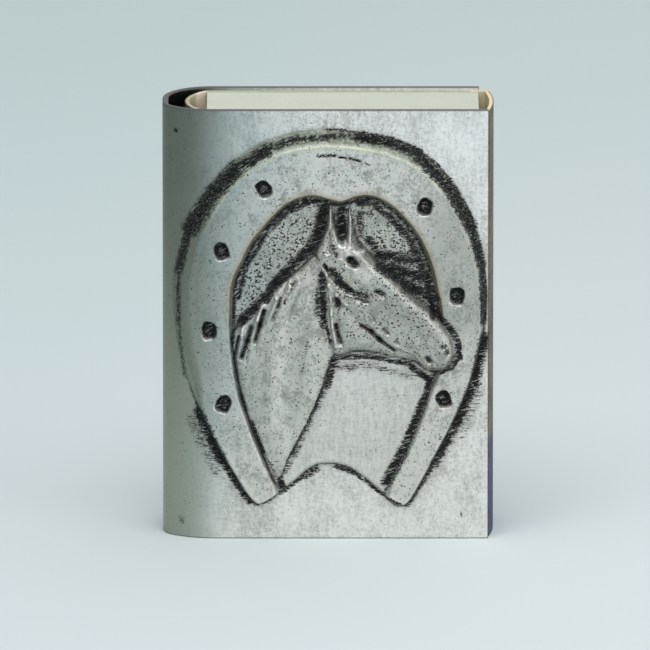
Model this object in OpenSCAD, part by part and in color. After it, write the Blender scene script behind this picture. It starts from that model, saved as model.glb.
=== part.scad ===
// Matchbox holder: a bent pewter cover with a cast horse and horseshoe on its front flap,
// round a card matchbox with a sliding tray of wooden matches.
// Millimetres. X runs from the spine to the fore-edge, Y from front to back, Z up.
// The origin is under the middle of the whole object, at the foot.

/* [Pewter cover] */
// Height of the cover
cover_h = 53; // [48:0.1:58]
// Thickness of the pewter sheet
wall = 0.72; // [0.5:0.01:1]
// How far the front flap passes the matchbox at the fore-edge
fore_lap = 0.1; // [0:0.05:1]
// How much shorter the back flap is than the front one
back_short = 1.1; // [0:0.1:3]
// Radius of the front bend where it leaves the spine
bend_side_r = 3.2; // [2.6:0.1:4]
// Radius of the front bend where it runs into the front flap
bend_front_r = 8; // [6:0.1:10]
// Depth of the front bend, from the front flap to the flat of the spine
bend_front_d = 4.3; // [4:0.1:5]
// Radius of the back bend
bend_back_r = 6; // [4:0.1:7]

/* [Medallion] */
// Height of the horse's cheek above the front flap
relief_h = 2.5; // [1.8:0.1:3]
// Height of the horseshoe's face above the front flap
shoe_h = 1.4; // [1:0.1:1.7]
// Height of the ground inside the horseshoe above the front flap
ground_h = 0.5; // [0.3:0.05:0.8]
// Height of the neck above the front flap
neck_h = 1.5; // [1:0.1:1.7]
// Height of the casting's own edge
foot_h = 0.12; // [0.08:0.01:0.25]
// Distance from the medallion to the outside of the spine
medallion_spine_edge = 1.2; // [0.6:0.1:4]
// Distance from the medallion to the fore-edge of the front flap
medallion_fore_edge = 0.3; // [0.1:0.1:3]
// Distance from the medallion to the top of the cover
medallion_top_edge = 2.5; // [1:0.1:6]
// Distance from the medallion to the foot of the cover
medallion_foot_edge = 4; // [1:0.1:8]

/* [Matchbox sleeve] */
// Height of the sleeve
sleeve_h = 52.6; // [48:0.1:60]
// Width of the sleeve's flat walls
sleeve_w = 33.9; // [30:0.1:38]
// Thickness of the card
card = 0.4; // [0.25:0.05:0.6]
// How far the narrow side bows out towards the spine
bow_spine = 2.4; // [1:0.1:2.8]
// How far the narrow side bows out at the fore-edge
bow_fore = 0.6; // [0.5:0.1:2.5]
// Thickness of the striking surface
striker_t = 0.12; // [0.08:0.01:0.2]
// Share of the narrow side's curve that the striking surface covers
striker_share = 0.94; // [0.6:0.01:0.95]

/* [Tray] */
// Depth of the tray, from its open face to its base
tray_d = 10.2; // [9:0.1:12]
// How far the tray's ends lie inside the sleeve's ends
tray_recess = 0.1; // [0.1:0.1:2]
// Thickness of the turned-in flap behind each end of the tray
end_flap = 0.35; // [0.2:0.05:0.6]

/* [Matches] */
// Matches in each layer
matches_across = 11; // [8:1:11]
// Layers of matches
layers = 2; // [1:1:2]
// Thickness of a match stick
stick_t = 1.8; // [1.6:0.05:1.8]
// Length of a match, with its head
match_len = 44; // [36:0.5:48]
// Diameter of a match head
head_d = 2.75; // [2.7:0.01:2.8]
// Length of a match head
head_len = 4; // [3.4:0.1:6]

/* [Clearances] */
// Clearance between the sleeve and each flap of the cover
sleeve_fit = 0.13; // [0.08:0.01:0.3]
// Clearance between the tray and each flat wall of the sleeve
tray_fit = 0.15; // [0.1:0.01:0.3]
// Clearance beside the tray towards the spine
tray_side_fit = 0.15; // [0.1:0.05:0.5]
// Play beside the tray towards the fore-edge
tray_play = 1.1; // [0.3:0.1:2]
// Clearance round each match
match_fit = 0.02; // [0.01:0.01:0.04]

/* [Hidden] */
// Fineness of the round surfaces
$fn = 96;

// Matchbox
sleeve_d = tray_d + 2 * tray_fit + 2 * card;
tray_h = sleeve_h - 2 * tray_recess;
tray_w = sleeve_w - tray_side_fit - tray_play;

// Cover, measured from the outside of the spine and of the front flap
cover_d = sleeve_d + 2 * sleeve_fit + 2 * wall;
bend_centre_step = sqrt(pow(bend_front_r - bend_side_r, 2) - pow(bend_front_r - bend_front_d, 2));
bend_front_x = bend_side_r + bend_centre_step;
bend_joint_angle = atan2(bend_front_d - bend_front_r, -bend_centre_step);
// Steps of each arc
bend_steps = 14;

// The sleeve goes in until its corners are this near the bends
corner_share = 0.6;
corner_fit = corner_share * sleeve_fit;
front_corner_x = bend_front_x - sqrt(2 * (bend_front_r - wall) * corner_fit - pow(corner_fit, 2));
back_corner_x = bend_back_r - sqrt(2 * (bend_back_r - wall) * corner_fit - pow(corner_fit, 2));
sleeve_in = max(front_corner_x, back_corner_x);
front_w = sleeve_in + sleeve_w + fore_lap;
back_w = front_w - back_short;

// Places in the object's frame
total_w = sleeve_in + sleeve_w + bow_fore + striker_t;
spine_x = -total_w / 2;
front_y = relief_h - (cover_d + relief_h) / 2;
sleeve_x = spine_x + sleeve_in;
sleeve_y = front_y + wall + sleeve_fit;
tray_x = sleeve_x + tray_side_fit;
tray_y = sleeve_y + card + tray_fit;
tray_z = tray_recess;
tray_back = tray_y + tray_d - card;

// Matches
match_step = (tray_w - 2 * card) / matches_across;
layer_step = head_d + match_fit;
match_z = tray_z + card + end_flap + match_fit;
head_taper = 0.06;
head_taper_r = head_d / 2 - head_taper;
head_body = head_len - head_d / 2;
// How far a stick reaches into its head's round end
stick_in = 0.2;
dip_end = match_len - head_d / 2 + stick_in;
match_count = matches_across * layers;

// Medallion: the drawing's own width and height, and its left and lower limits
drawn_x = -18.4;
drawn_z = 4;
drawn_w = 37.7;
drawn_h = 46.6;
medallion_w = front_w - medallion_spine_edge - medallion_fore_edge;
medallion_h = cover_h - medallion_top_edge - medallion_foot_edge;
// Columns and rows of the relief's surface
relief_columns = 78;
relief_rows = 70;
// Points between two points of an outline
curve_steps = 2;
// Width of the horseshoe's wall at its lower ends, and how much wider its apron is at the top
wall_slope = 0.6;
apron_slope = 1.3;
// Where the apron begins up the left and the right side, and over what height it widens
apron_left = [15, 6];
apron_right = [22, 28];
// Where the left side gives way to the right one across the flap, and over what width
apron_middle = [-6, 12];
// Widths of the horseshoe's inner slope, of the ground's edge and of the step up to the face
inner_slope = 0.7;
ground_slope = 0.4;
face_slope = 0.7;
// Width over which the head and the neck round off
head_round = 1.1;
neck_round = 1.8;
// Height of the jowl, as a share of the whole relief
jowl_share = 0.76;
// Least width of a stroke
stroke_min = 0.42;
// Gap that keeps the casting's back clear of the bend
casting_gap = 0.02;
// Distance from the casting's sides to the first and last column
column_inset = 0.2;
// How much closer together the columns and rows lie towards the casting's edge
edge_crowding = 0.3;

// Outlines of the relief, seen from the front: x from the middle of the flap, z from its foot
foot_outline = [
    [-8.2, 4.3], [-9.8, 5.8], [-11.2, 8.2], [-13.1, 11.5], [-14.8, 15], [-16.4, 19], [-17.6, 23],
    [-18.2, 27.5], [-18.3, 31], [-17.9, 34.5], [-16.9, 37.9], [-15.3, 41.3], [-13, 44.8],
    [-10.3, 47.4], [-7.4, 49.1], [-4, 50.2], [0, 50.7], [4, 50.4], [7.5, 49.7], [10.5, 48.5],
    [13, 46.8], [15, 44.5], [16.7, 41.7], [18, 38.5], [18.9, 35], [19.3, 31], [19.2, 27.5],
    [18.7, 24], [17.9, 20.7], [16.7, 17.3], [15.1, 13.8], [13.3, 10.3], [11.8, 7.4], [10.4, 4.9],
    [9, 4], [7.4, 5.1], [5.9, 6.5], [4.2, 7.9], [2.6, 8.9], [0.8, 9.3], [-0.9, 9.2], [-2.2, 8.5],
    [-3.4, 7.4], [-5, 6.1], [-6.6, 4.9]];
inside_outline = [
    [-5.7, 6.6], [-7.2, 10], [-8.9, 14.4], [-10.2, 18.4], [-11, 24], [-11.1, 29], [-10.8, 32],
    [-9.8, 34.3], [-8.7, 36.6], [-7.3, 38.5], [-5.7, 40.3], [-4.5, 41.4], [-3.1, 42.1],
    [-1.5, 42.4], [0.1, 42], [1.7, 41.6], [3, 42], [4.5, 42.4], [6.1, 42.2], [7.9, 41.1],
    [9.2, 39.8], [10.4, 38.3], [11.4, 36.6], [12.4, 34.1], [13.1, 31], [13.6, 28], [13.5, 22.5],
    [12.4, 18.6], [10.2, 12.5], [7.7, 7.6], [6, 3], [0, 1], [-5, 3]];
head_outline = [
    [0.65, 41.8], [0.9, 40.6], [1.15, 39.1], [1.5, 37.8], [1.95, 37.3], [2.45, 37.7], [2.7, 39.2],
    [2.85, 41.4], [3.15, 40.2], [3.35, 39], [3.55, 37.6], [4.1, 36.5], [5.1, 35.6], [6.4, 34.3],
    [7.7, 33.1], [9.3, 31.5], [11, 29.9], [12.9, 28.3], [14.4, 26.6], [15.3, 25], [15.6, 23.3],
    [15, 21.9], [13.7, 21.1], [12.1, 21.3], [11, 22.2], [8.8, 22.7], [5.7, 23.4], [3.4, 23.5],
    [1.2, 23], [0.55, 24.7], [0.3, 27], [0.25, 30], [-0.3, 32.6], [-1.15, 35.3], [-0.5, 37],
    [0.05, 39], [0.3, 40.6]];
neck_outline = [
    [-1.1, 35.3], [-3.4, 33.4], [-6.6, 30.6], [-9.2, 27.9], [-11.4, 25.4], [-11.8, 20],
    [-10.4, 14], [-8, 9], [-6, 6.6], [-4.6, 9.7], [-2.5, 13.5], [-0.7, 17.5], [0.4, 20.9],
    [1.2, 23.5], [2.2, 28], [1, 33]];
// Part of the head that stands higher: the face above the cheekbone
face_outline = [
    [-1.4, 35.6], [-0.4, 33.7], [0.6, 31.8], [1.4, 30.7], [2.6, 29.6], [4.1, 28], [5.1, 27],
    [6.1, 25.9], [7.3, 24.6], [8.8, 23.7], [10.6, 23], [12, 20.8], [18, 19], [18.5, 30], [9, 37],
    [4, 44], [-2, 43.5], [-2.6, 38]];
// Modelling on the head and neck: each stroke runs from x, z to x, z and has a width and a height
strokes = [
    [3, 35.1, 3.5, 34.6, 0.5, -0.75], [2.4, 36, 4.2, 35.8, 0.35, 0.3],
    [4.2, 35.7, 5, 34.7, 0.3, 0.2], [2.6, 34.1, 3.9, 33.7, 0.25, 0.2],
    [1.6, 37.1, 2.3, 35.8, 0.35, 0.3], [3, 37.3, 2.5, 35.9, 0.3, 0.3],
    [0.63, 41.4, 0.5, 39, 0.2, 0.35], [0.5, 39, -0.9, 35.6, 0.22, 0.3],
    [0.5, 38.2, 0.3, 36.2, 0.35, -0.5], [2.9, 41.1, 2.85, 37.5, 0.22, 0.35],
    [3.25, 39.2, 3.3, 37.4, 0.2, -0.2], [4.7, 33.3, 5.6, 32.4, 1.1, 0.2],
    [-0.9, 34.8, 0.1, 33.1, 0.28, 0.4], [0.1, 33.1, 0.35, 31.9, 0.28, 0.35],
    [0.35, 31.9, 1.3, 30.7, 0.25, 0.35], [1.3, 30.7, 2.5, 29.5, 0.28, 0.3],
    [2.5, 29.5, 4.1, 28, 0.3, 0.25], [4.1, 28, 6.1, 25.9, 0.3, 0.2],
    [0.35, 31.9, 0.62, 30, 0.22, 0.4], [0.62, 30, 0.68, 28.2, 0.22, 0.4],
    [0.68, 28.2, 0.85, 26.5, 0.22, 0.35], [0.85, 26.5, 1.25, 24.2, 0.22, 0.3],
    [1.45, 30.1, 1.5, 29.3, 0.35, -0.6], [1.35, 29, 1.3, 26.8, 0.3, -0.2],
    [1.25, 26.8, 1.85, 24.7, 0.28, -0.5], [4.3, 26.9, 5.5, 26.2, 0.25, -0.4],
    [5.5, 26.2, 6.5, 25.2, 0.25, -0.5], [6.5, 25.2, 8.3, 23.8, 0.25, -0.45],
    [3.2, 25.9, 4.2, 25.2, 1.6, 0.25], [-0.1, 34.3, 0.1, 34, 0.28, -0.5],
    [0.7, 33.2, 1.1, 32.8, 0.4, -0.6], [1.6, 32.2, 2.6, 31.5, 0.38, -0.55],
    [3, 31.1, 4.9, 30.6, 0.33, -0.45], [6.2, 31, 6.9, 30.7, 0.3, -0.35],
    [3.6, 30.3, 5, 29.9, 0.28, -0.3], [7, 26.5, 7.5, 26, 0.22, -0.4],
    [8.5, 25, 8.7, 24.7, 0.2, -0.35], [9, 23.8, 9.1, 23.7, 0.25, -0.3],
    [14.05, 24.3, 14.1, 24.2, 0.28, -0.6], [14.55, 23.7, 14.6, 23.5, 0.28, -0.65],
    [12.25, 22.9, 12.45, 22.6, 0.33, -0.7], [12.4, 22.6, 13.3, 22.2, 0.2, -0.2],
    [13.1, 24.6, 13.3, 23.2, 0.4, 0.2], [13.8, 23.6, 14.2, 22.8, 1, 0.2],
    [11.3, 26.2, 11.6, 24.2, 0.6, -0.2], [-7.3, 28.7, -8.1, 26.4, 0.3, -0.5],
    [-8.1, 26.4, -9, 22.8, 0.26, -0.4], [-5.6, 30, -6, 28, 0.3, -0.4],
    [-6, 28, -7, 25.4, 0.26, -0.25], [-8.85, 26.6, -9.7, 23.8, 0.28, -0.5],
    [-9.7, 23.8, -10.3, 20.6, 0.26, -0.4], [-10.4, 25.8, -10.7, 23.4, 0.22, -0.35],
    [-3.7, 32.4, -4.9, 30.1, 0.25, -0.35], [-4.7, 32, -5.3, 30.2, 0.22, -0.25],
    [-4.1, 31.8, -4.6, 30.6, 0.2, 0.35], [-6.3, 30.4, -7.7, 26.8, 0.3, 0.2],
    [-8.1, 28.4, -9.4, 24.6, 0.26, 0.25], [-9.6, 27, -10.3, 23.2, 0.22, 0.25],
    [-2.6, 31, -3.4, 21, 1.3, 0.3], [-0.9, 31.5, -0.7, 26, 0.8, -0.25],
    [-6.4, 24, -6.6, 15, 1.2, 0.2]];
// Nail holes of the horseshoe: x, z and the way each one leans
nail_holes = [
    [-7.4, 43.6, 30], [-12.5, 35.9, 15], [-14, 26.1, 0], [-12.3, 17, -25], [11.9, 41.4, -20],
    [15.8, 30.4, -5], [14.2, 17.6, 20]];
// Width, height and depth of a nail hole
nail_w = 1.9;
nail_h = 2.4;
nail_depth = 0.7;
// How square a nail hole is, and the share of it that its sloping sides take
nail_square = 3;
nail_side = 0.35;

function two_digits(i) = i < 10 ? str("0", i) : str(i);
stick_nodes = [for (i = [1:match_count]) str("match_stick_", two_digits(i))];
head_nodes = [for (i = [1:match_count]) str("match_head_", two_digits(i))];

// Points along an arc, in even steps
function arc(centre, r, from, to) =
    [for (i = [0:bend_steps])
        let (angle = from + (to - from) * i / bend_steps)
        centre + r * [cos(angle), sin(angle)]];

// The sheet's line round the spine at an inset from its outside: front flap, front bend in two
// radii, flat of the spine, back bend, back flap
function sheet_line(inset) =
    concat(
        [[front_w, inset]],
        arc([bend_front_x, bend_front_r], bend_front_r - inset, 270, 360 + bend_joint_angle),
        arc([bend_side_r, bend_front_d], bend_side_r - inset, 360 + bend_joint_angle, 180),
        arc([bend_back_r, cover_d - bend_back_r], bend_back_r - inset, 180, 90),
        [[back_w, cover_d - inset]]);

// Cover: one sheet of even thickness, open at the top, the foot and the fore-edge
module cover() {
    outside = sheet_line(0);
    lining = sheet_line(wall);
    last = len(lining) - 1;
    color("silver")
        translate([spine_x, front_y, 0])
            linear_extrude(cover_h)
                polygon(concat(outside, [for (i = [0:last]) lining[last - i]]));
}

// Depth of the cover's outside behind the front flap's plane, at x from the spine
function front_depth(x) =
    let (joint_x = bend_front_x + bend_front_r * cos(bend_joint_angle))
    x >= bend_front_x ? 0 :
    x >= joint_x ? bend_front_r - sqrt(pow(bend_front_r, 2) - pow(bend_front_x - x, 2)) :
    bend_front_d - sqrt(pow(bend_side_r, 2) - pow(bend_side_r - x, 2));

// A smooth closed curve through the points of an outline
function closed_curve(points) =
    let (n = len(points))
    [for (i = [0:n - 1], k = [0:curve_steps - 1])
        let (
            t = k / curve_steps,
            a = points[(i + n - 1) % n],
            b = points[i],
            c = points[(i + 1) % n],
            d = points[(i + 2) % n]
        )
        0.5 * (2 * b + (c - a) * t + (2 * a - 5 * b + 4 * c - d) * t * t
            + (3 * b - a - 3 * c + d) * t * t * t)];

// Distance from a point to the line between two points
function line_distance(p, a, b) =
    let (along = b - a, t = max(0, min(1, ((p - a) * along) / (along * along))))
    norm(p - a - t * along);

// Sum of a list's numbers
function total(list) = list * [for (item = list) 1];

// How often a ray from the point towards +x crosses the curve
function crossings(p, curve) =
    let (n = len(curve))
    total([for (i = [0:n - 1])
        let (a = curve[i], b = curve[(i + 1) % n])
        (a[1] > p[1]) != (b[1] > p[1])
            && p[0] < a[0] + (b[0] - a[0]) * (p[1] - a[1]) / (b[1] - a[1]) ? 1 : 0]);

// Distance to the curve, positive inside it
function inside_distance(p, curve) =
    let (
        n = len(curve),
        near = min([for (i = [0:n - 1]) line_distance(p, curve[i], curve[(i + 1) % n])])
    )
    crossings(p, curve) % 2 == 1 ? near : -near;

// Profile that rises as a quarter circle over the given width
function rounded(d, width) =
    let (u = max(0, min(1, d / width)))
    sqrt(1 - (1 - u) * (1 - u));

// Profile that rises along an S-curve over the given width
function slope(d, width) =
    let (u = max(0, min(1, d / width)))
    u * u * (3 - 2 * u);

// Modelling that the strokes add at a point
function modelling(p) =
    total([for (s = strokes)
        let (d = line_distance(p, [s[0], s[1]], [s[2], s[3]]) / max(s[4], stroke_min))
        s[5] * exp(-d * d)]);

// Depth of the nail holes at a point
function nail_cut(p) =
    nail_depth * max([for (n = nail_holes)
        let (
            x = (p[0] - n[0]) * cos(n[2]) + (p[1] - n[1]) * sin(n[2]),
            z = (p[1] - n[1]) * cos(n[2]) - (p[0] - n[0]) * sin(n[2]),
            reach = pow(abs(2 * x / nail_w), nail_square) + pow(abs(2 * z / nail_h), nail_square)
        )
        slope(1 - pow(reach, 1 / nail_square), nail_side)]);

// Width of the horseshoe's outer slope: steep low down, a wide apron round the top
function outer_slope(p) =
    let (
        left = slope(p[1] - apron_left[0], apron_left[1]),
        right = slope(p[1] - apron_right[0], apron_right[1]),
        side = slope(p[0] - apron_middle[0], apron_middle[1])
    )
    wall_slope + apron_slope * (left * (1 - side) + right * side);

// Height of the relief above the flap: the highest of ground, horseshoe, neck and head
function relief(p, curves) =
    let (
        edge = inside_distance(p, curves[0]),
        field = inside_distance(p, curves[1]),
        head_in = inside_distance(p, curves[2]),
        neck_in = inside_distance(p, curves[3]),
        face_in = inside_distance(p, curves[4]),
        ground = ground_h * slope(edge, ground_slope),
        shoe = shoe_h * min(slope(edge, outer_slope(p)), slope(-field, inner_slope)) - nail_cut(p),
        crown = relief_h * (jowl_share + (1 - jowl_share) * slope(face_in, face_slope)) - ground_h,
        head = head_in > 0 ? ground_h + crown * rounded(head_in, head_round) : 0,
        neck = neck_in > 0 ? ground_h + (neck_h - ground_h) * rounded(neck_in, neck_round) : 0,
        horse = max(head, neck)
    )
    min(relief_h, max(foot_h, ground, shoe, horse > 0 ? horse + modelling(p) : 0));

// The point, or the nearest point of the curve if that is within reach
function snapped(p, curve, reach) =
    let (
        n = len(curve),
        feet = [for (i = [0:n - 1])
            let (
                a = curve[i],
                along = curve[(i + 1) % n] - a,
                t = max(0, min(1, ((p - a) * along) / (along * along)))
            )
            a + t * along],
        gaps = [for (foot = feet) norm(foot - p)],
        near = min(gaps)
    )
    near > reach ? p : feet[search(near, gaps)[0]];

// Lowest and highest z where the vertical line at x meets the curve
function column_limits(x, curve) =
    let (
        n = len(curve),
        hits = [for (i = [0:n - 1])
            let (a = curve[i], b = curve[(i + 1) % n])
            if ((a[0] > x) != (b[0] > x)) a[1] + (b[1] - a[1]) * (x - a[0]) / (b[0] - a[0])]
    )
    [min(hits), max(hits)];

// Even steps from -1 to 1, drawn closer together towards both ends
function eased(i, n) =
    let (s = 2 * i / n - 1)
    (1 - edge_crowding) * s + edge_crowding * sin(90 * s);

// Medallion: one casting whose back follows the cover, and whose face is the relief.
// Columns of points run up it at equal x, so that each strip of its back is flat; the points of
// the face that are near the edge of the horse or of the ground are moved onto it.
module medallion() {
    curves = [for (outline = [foot_outline, inside_outline, head_outline, neck_outline, face_outline])
        closed_curve(outline)];
    foot = curves[0];
    left = min([for (p = foot) p[0]]);
    right = max([for (p = foot) p[0]]);
    half_w = (right - left) / 2 - column_inset;
    scale_x = medallion_w / drawn_w;
    scale_z = medallion_h / drawn_h;
    cell_w = 2 * half_w / relief_columns;
    columns = [for (i = [0:relief_columns])
        let (
            x = (left + right) / 2 + half_w * eased(i, relief_columns),
            limits = column_limits(x, foot),
            cell_h = (limits[1] - limits[0]) / relief_rows,
            reach = min(cell_w, cell_h) / 2
        )
        [for (j = [0:relief_rows])
            let (p = [x, limits[0] + (limits[1] - limits[0]) * (1 + eased(j, relief_rows)) / 2])
            i % relief_columns == 0 || j % relief_rows == 0 || inside_distance(p, foot) < cell_w ? p :
            snapped(snapped(p, curves[1], reach), curves[2], reach)]];
    place = function (p)
        let (x = medallion_spine_edge + (p[0] - drawn_x) * scale_x)
        [spine_x + x, front_y + front_depth(x) - casting_gap,
            medallion_foot_edge + (p[1] - drawn_z) * scale_z];
    face = [for (column = columns, p = column)
        place(p) - [0, relief(p, curves) - casting_gap, 0]];
    back = [for (column = columns) each [place(column[0]), place(column[relief_rows])]];
    rows = relief_rows + 1;
    start = len(face);
    front_faces = [for (i = [0:relief_columns - 1], j = [0:relief_rows - 1])
        let (a = i * rows + j, b = a + rows)
        each [[a, a + 1, b], [b, a + 1, b + 1]]];
    back_faces = [for (i = [0:relief_columns - 1])
        let (a = start + 2 * i)
        each [[a, a + 2, a + 1], [a + 2, a + 3, a + 1]]];
    low_faces = [for (i = [0:relief_columns - 1])
        let (a = i * rows, b = a + rows, c = start + 2 * i)
        each [[a, b, c], [b, c + 2, c]]];
    high_faces = [for (i = [0:relief_columns - 1])
        let (a = i * rows + relief_rows, b = a + rows, c = start + 2 * i + 1)
        each [[a, c, b], [b, c, c + 2]]];
    last = relief_columns * rows;
    end = start + 2 * relief_columns;
    left_faces = concat(
        [for (j = [0:relief_rows - 1]) [start, j + 1, j]],
        [[start, start + 1, relief_rows]]);
    right_faces = concat(
        [for (j = [0:relief_rows - 1]) [end, last + j, last + j + 1]],
        [[end, last + relief_rows, end + 1]]);
    color("gainsboro")
        polyhedron(
            points = concat(face, back),
            faces = concat(front_faces, back_faces, low_faces, high_faces, left_faces, right_faces));
}

// Radius of a narrow side that bows out by the given amount
function bow_radius(bow) = (pow(sleeve_d / 2, 2) + pow(bow, 2)) / (2 * bow);

// Half the angle that its curve spans at an inset from its outside
function bow_angle(bow, inset) = asin((sleeve_d / 2 - inset) / (bow_radius(bow) - inset));

// Middles of the two curves, measured from the sleeve's corner
fore_centre = [sleeve_w + bow_fore - bow_radius(bow_fore), sleeve_d / 2];
spine_centre = [bow_radius(bow_spine) - bow_spine, sleeve_d / 2];

// The sleeve's line at an inset from its outside: two bowed narrow sides joined by flat walls
function sleeve_line(inset) =
    let (fore_angle = bow_angle(bow_fore, inset), spine_angle = bow_angle(bow_spine, inset))
    concat(
        arc(fore_centre, bow_radius(bow_fore) - inset, -fore_angle, fore_angle),
        arc(spine_centre, bow_radius(bow_spine) - inset, 180 - spine_angle, 180 + spine_angle));

// Sleeve: one band of card, open at both ends
module sleeve() {
    color("burlywood")
        translate([sleeve_x, sleeve_y, 0])
            linear_extrude(sleeve_h)
                difference() {
                    polygon(sleeve_line(0));
                    polygon(sleeve_line(card));
                }
}

// Striking surface: a thin strip on the outside of a bowed narrow side
module striker(bow, centre, facing) {
    angle = bow_angle(bow, 0) * striker_share;
    color("dimgray")
        translate([sleeve_x + centre[0], sleeve_y + centre[1], 0])
            rotate([0, 0, facing - angle])
                rotate_extrude(angle = 2 * angle)
                    translate([bow_radius(bow), 0])
                        square([striker_t, sleeve_h]);
}

module striker_right() {
    striker(bow_fore, fore_centre, 0);
}

module striker_left() {
    striker(bow_spine, spine_centre, 180);
}

// Tray: base at the back, two long sides and two ends, each with a flap turned in behind it
module tray() {
    inner_w = tray_w - 2 * card;
    color("antiquewhite")
        translate([tray_x, tray_y, tray_z]) {
            translate([0, tray_d - card, 0])
                cube([tray_w, card, tray_h]);
            for (x = [0, tray_w - card])
                translate([x, 0, 0])
                    cube([card, tray_d, tray_h]);
            for (z = [0, tray_h - card])
                translate([0, 0, z])
                    cube([tray_w, tray_d, card]);
            for (z = [card, tray_h - card - end_flap])
                translate([card, 0, z])
                    cube([inner_w, tray_d, end_flap]);
        }
}

// Middle of a match's foot; the matches lie side by side on the tray's base, then on each other
function match_place(i) =
    let (layer = floor((i - 1) / matches_across), column = (i - 1) % matches_across)
    [tray_x + card + (column + 0.5) * match_step,
        tray_back - match_fit - head_d / 2 - layer * layer_step,
        match_z];

module match_stick(i) {
    color("wheat")
        translate(match_place(i) - [stick_t / 2, stick_t / 2, 0])
            cube([stick_t, stick_t, dip_end]);
}

// Head: a round end on a slightly tapered body, dipped over the end of its stick
module match_head(i) {
    color("firebrick")
        translate(match_place(i))
            difference() {
                translate([0, 0, match_len - head_len])
                    union() {
                        cylinder(h = head_body, r1 = head_taper_r, r2 = head_d / 2);
                        translate([0, 0, head_body])
                            sphere(d = head_d);
                    }
                translate([-stick_t / 2, -stick_t / 2, 0])
                    cube([stick_t, stick_t, dip_end]);
            }
}

cover();
medallion();
sleeve();
striker_right();
striker_left();
tray();
for (i = [1:match_count]) match_stick(i);
for (i = [1:match_count]) match_head(i);
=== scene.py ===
"""Looks of the matchbox holder: a pewter cover with a cast horse and horseshoe, and its matchbox."""

import math

import bpy
import numpy as np
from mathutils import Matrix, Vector


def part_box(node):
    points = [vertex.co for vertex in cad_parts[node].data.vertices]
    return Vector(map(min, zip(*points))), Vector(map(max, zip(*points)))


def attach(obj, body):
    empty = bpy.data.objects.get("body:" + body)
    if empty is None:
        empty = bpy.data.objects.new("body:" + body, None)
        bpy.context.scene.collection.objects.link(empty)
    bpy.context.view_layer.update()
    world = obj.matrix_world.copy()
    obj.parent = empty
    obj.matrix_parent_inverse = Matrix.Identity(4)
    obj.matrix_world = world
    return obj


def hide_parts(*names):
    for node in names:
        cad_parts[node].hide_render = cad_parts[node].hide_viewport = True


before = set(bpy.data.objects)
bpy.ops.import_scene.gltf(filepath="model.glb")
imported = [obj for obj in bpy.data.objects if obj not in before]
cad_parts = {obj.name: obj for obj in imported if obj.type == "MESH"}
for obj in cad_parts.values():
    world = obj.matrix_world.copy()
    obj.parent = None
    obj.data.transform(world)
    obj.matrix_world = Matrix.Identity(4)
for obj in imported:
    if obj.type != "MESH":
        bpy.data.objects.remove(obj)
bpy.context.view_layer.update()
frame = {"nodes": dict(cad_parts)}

bl_info = {
    "name": "Matchbox Holder",
    "version": (1, 0, 0),
    "blender": (4, 5, 0),
    "location": "3D View > Sidebar > Matchbox Holder",
    "description": "Dresses the matchbox holder's parts with worked surfaces and materials",
    "category": "Add Mesh",
}

MM = 0.001

# Outlines of the relief, seen from the front: x from the middle of the flap, z from its foot
FOOT_OUTLINE = (
    (-8.2, 4.3), (-9.8, 5.8), (-11.2, 8.2), (-13.1, 11.5), (-14.8, 15), (-16.4, 19), (-17.6, 23),
    (-18.2, 27.5), (-18.3, 31), (-17.9, 34.5), (-16.9, 37.9), (-15.3, 41.3), (-13, 44.8),
    (-10.3, 47.4), (-7.4, 49.1), (-4, 50.2), (0, 50.7), (4, 50.4), (7.5, 49.7), (10.5, 48.5),
    (13, 46.8), (15, 44.5), (16.7, 41.7), (18, 38.5), (18.9, 35), (19.3, 31), (19.2, 27.5),
    (18.7, 24), (17.9, 20.7), (16.7, 17.3), (15.1, 13.8), (13.3, 10.3), (11.8, 7.4), (10.4, 4.9),
    (9, 4), (7.4, 5.1), (5.9, 6.5), (4.2, 7.9), (2.6, 8.9), (0.8, 9.3), (-0.9, 9.2), (-2.2, 8.5),
    (-3.4, 7.4), (-5, 6.1), (-6.6, 4.9),
)
INSIDE_OUTLINE = (
    (-5.7, 6.6), (-7.2, 10), (-8.9, 14.4), (-10.2, 18.4), (-11, 24), (-11.1, 29), (-10.8, 32),
    (-9.8, 34.3), (-8.7, 36.6), (-7.3, 38.5), (-5.7, 40.3), (-4.5, 41.4), (-3.1, 42.1),
    (-1.5, 42.4), (0.1, 42), (1.7, 41.6), (3, 42), (4.5, 42.4), (6.1, 42.2), (7.9, 41.1),
    (9.2, 39.8), (10.4, 38.3), (11.4, 36.6), (12.4, 34.1), (13.1, 31), (13.6, 28), (13.5, 22.5),
    (12.4, 18.6), (10.2, 12.5), (7.7, 7.6), (6, 3), (0, 1), (-5, 3),
)
HEAD_OUTLINE = (
    (0.65, 41.8), (0.9, 40.6), (1.15, 39.1), (1.5, 37.8), (1.95, 37.3), (2.45, 37.7),
    (2.7, 39.2), (2.85, 41.4), (3.15, 40.2), (3.35, 39), (3.55, 37.6), (4.1, 36.5), (5.1, 35.6),
    (6.4, 34.3), (7.7, 33.1), (9.3, 31.5), (11, 29.9), (12.9, 28.3), (14.4, 26.6), (15.3, 25),
    (15.6, 23.3), (15, 21.9), (13.7, 21.1), (12.1, 21.3), (11, 22.2), (8.8, 22.7), (5.7, 23.4),
    (3.4, 23.5), (1.2, 23), (0.55, 24.7), (0.3, 27), (0.25, 30), (-0.3, 32.6), (-1.15, 35.3),
    (-0.5, 37), (0.05, 39), (0.3, 40.6),
)
NECK_OUTLINE = (
    (-1.1, 35.3), (-3.4, 33.4), (-6.6, 30.6), (-9.2, 27.9), (-11.2, 25.6), (-11.1, 23.5),
    (-10.4, 19.4), (-9.1, 14.6), (-7.4, 10.2), (-5.9, 6.9), (-4.6, 9.7), (-2.5, 13.5),
    (-0.7, 17.5), (0.4, 20.9),
    (1.2, 23.5), (2.2, 28), (1, 33),
)
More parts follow.
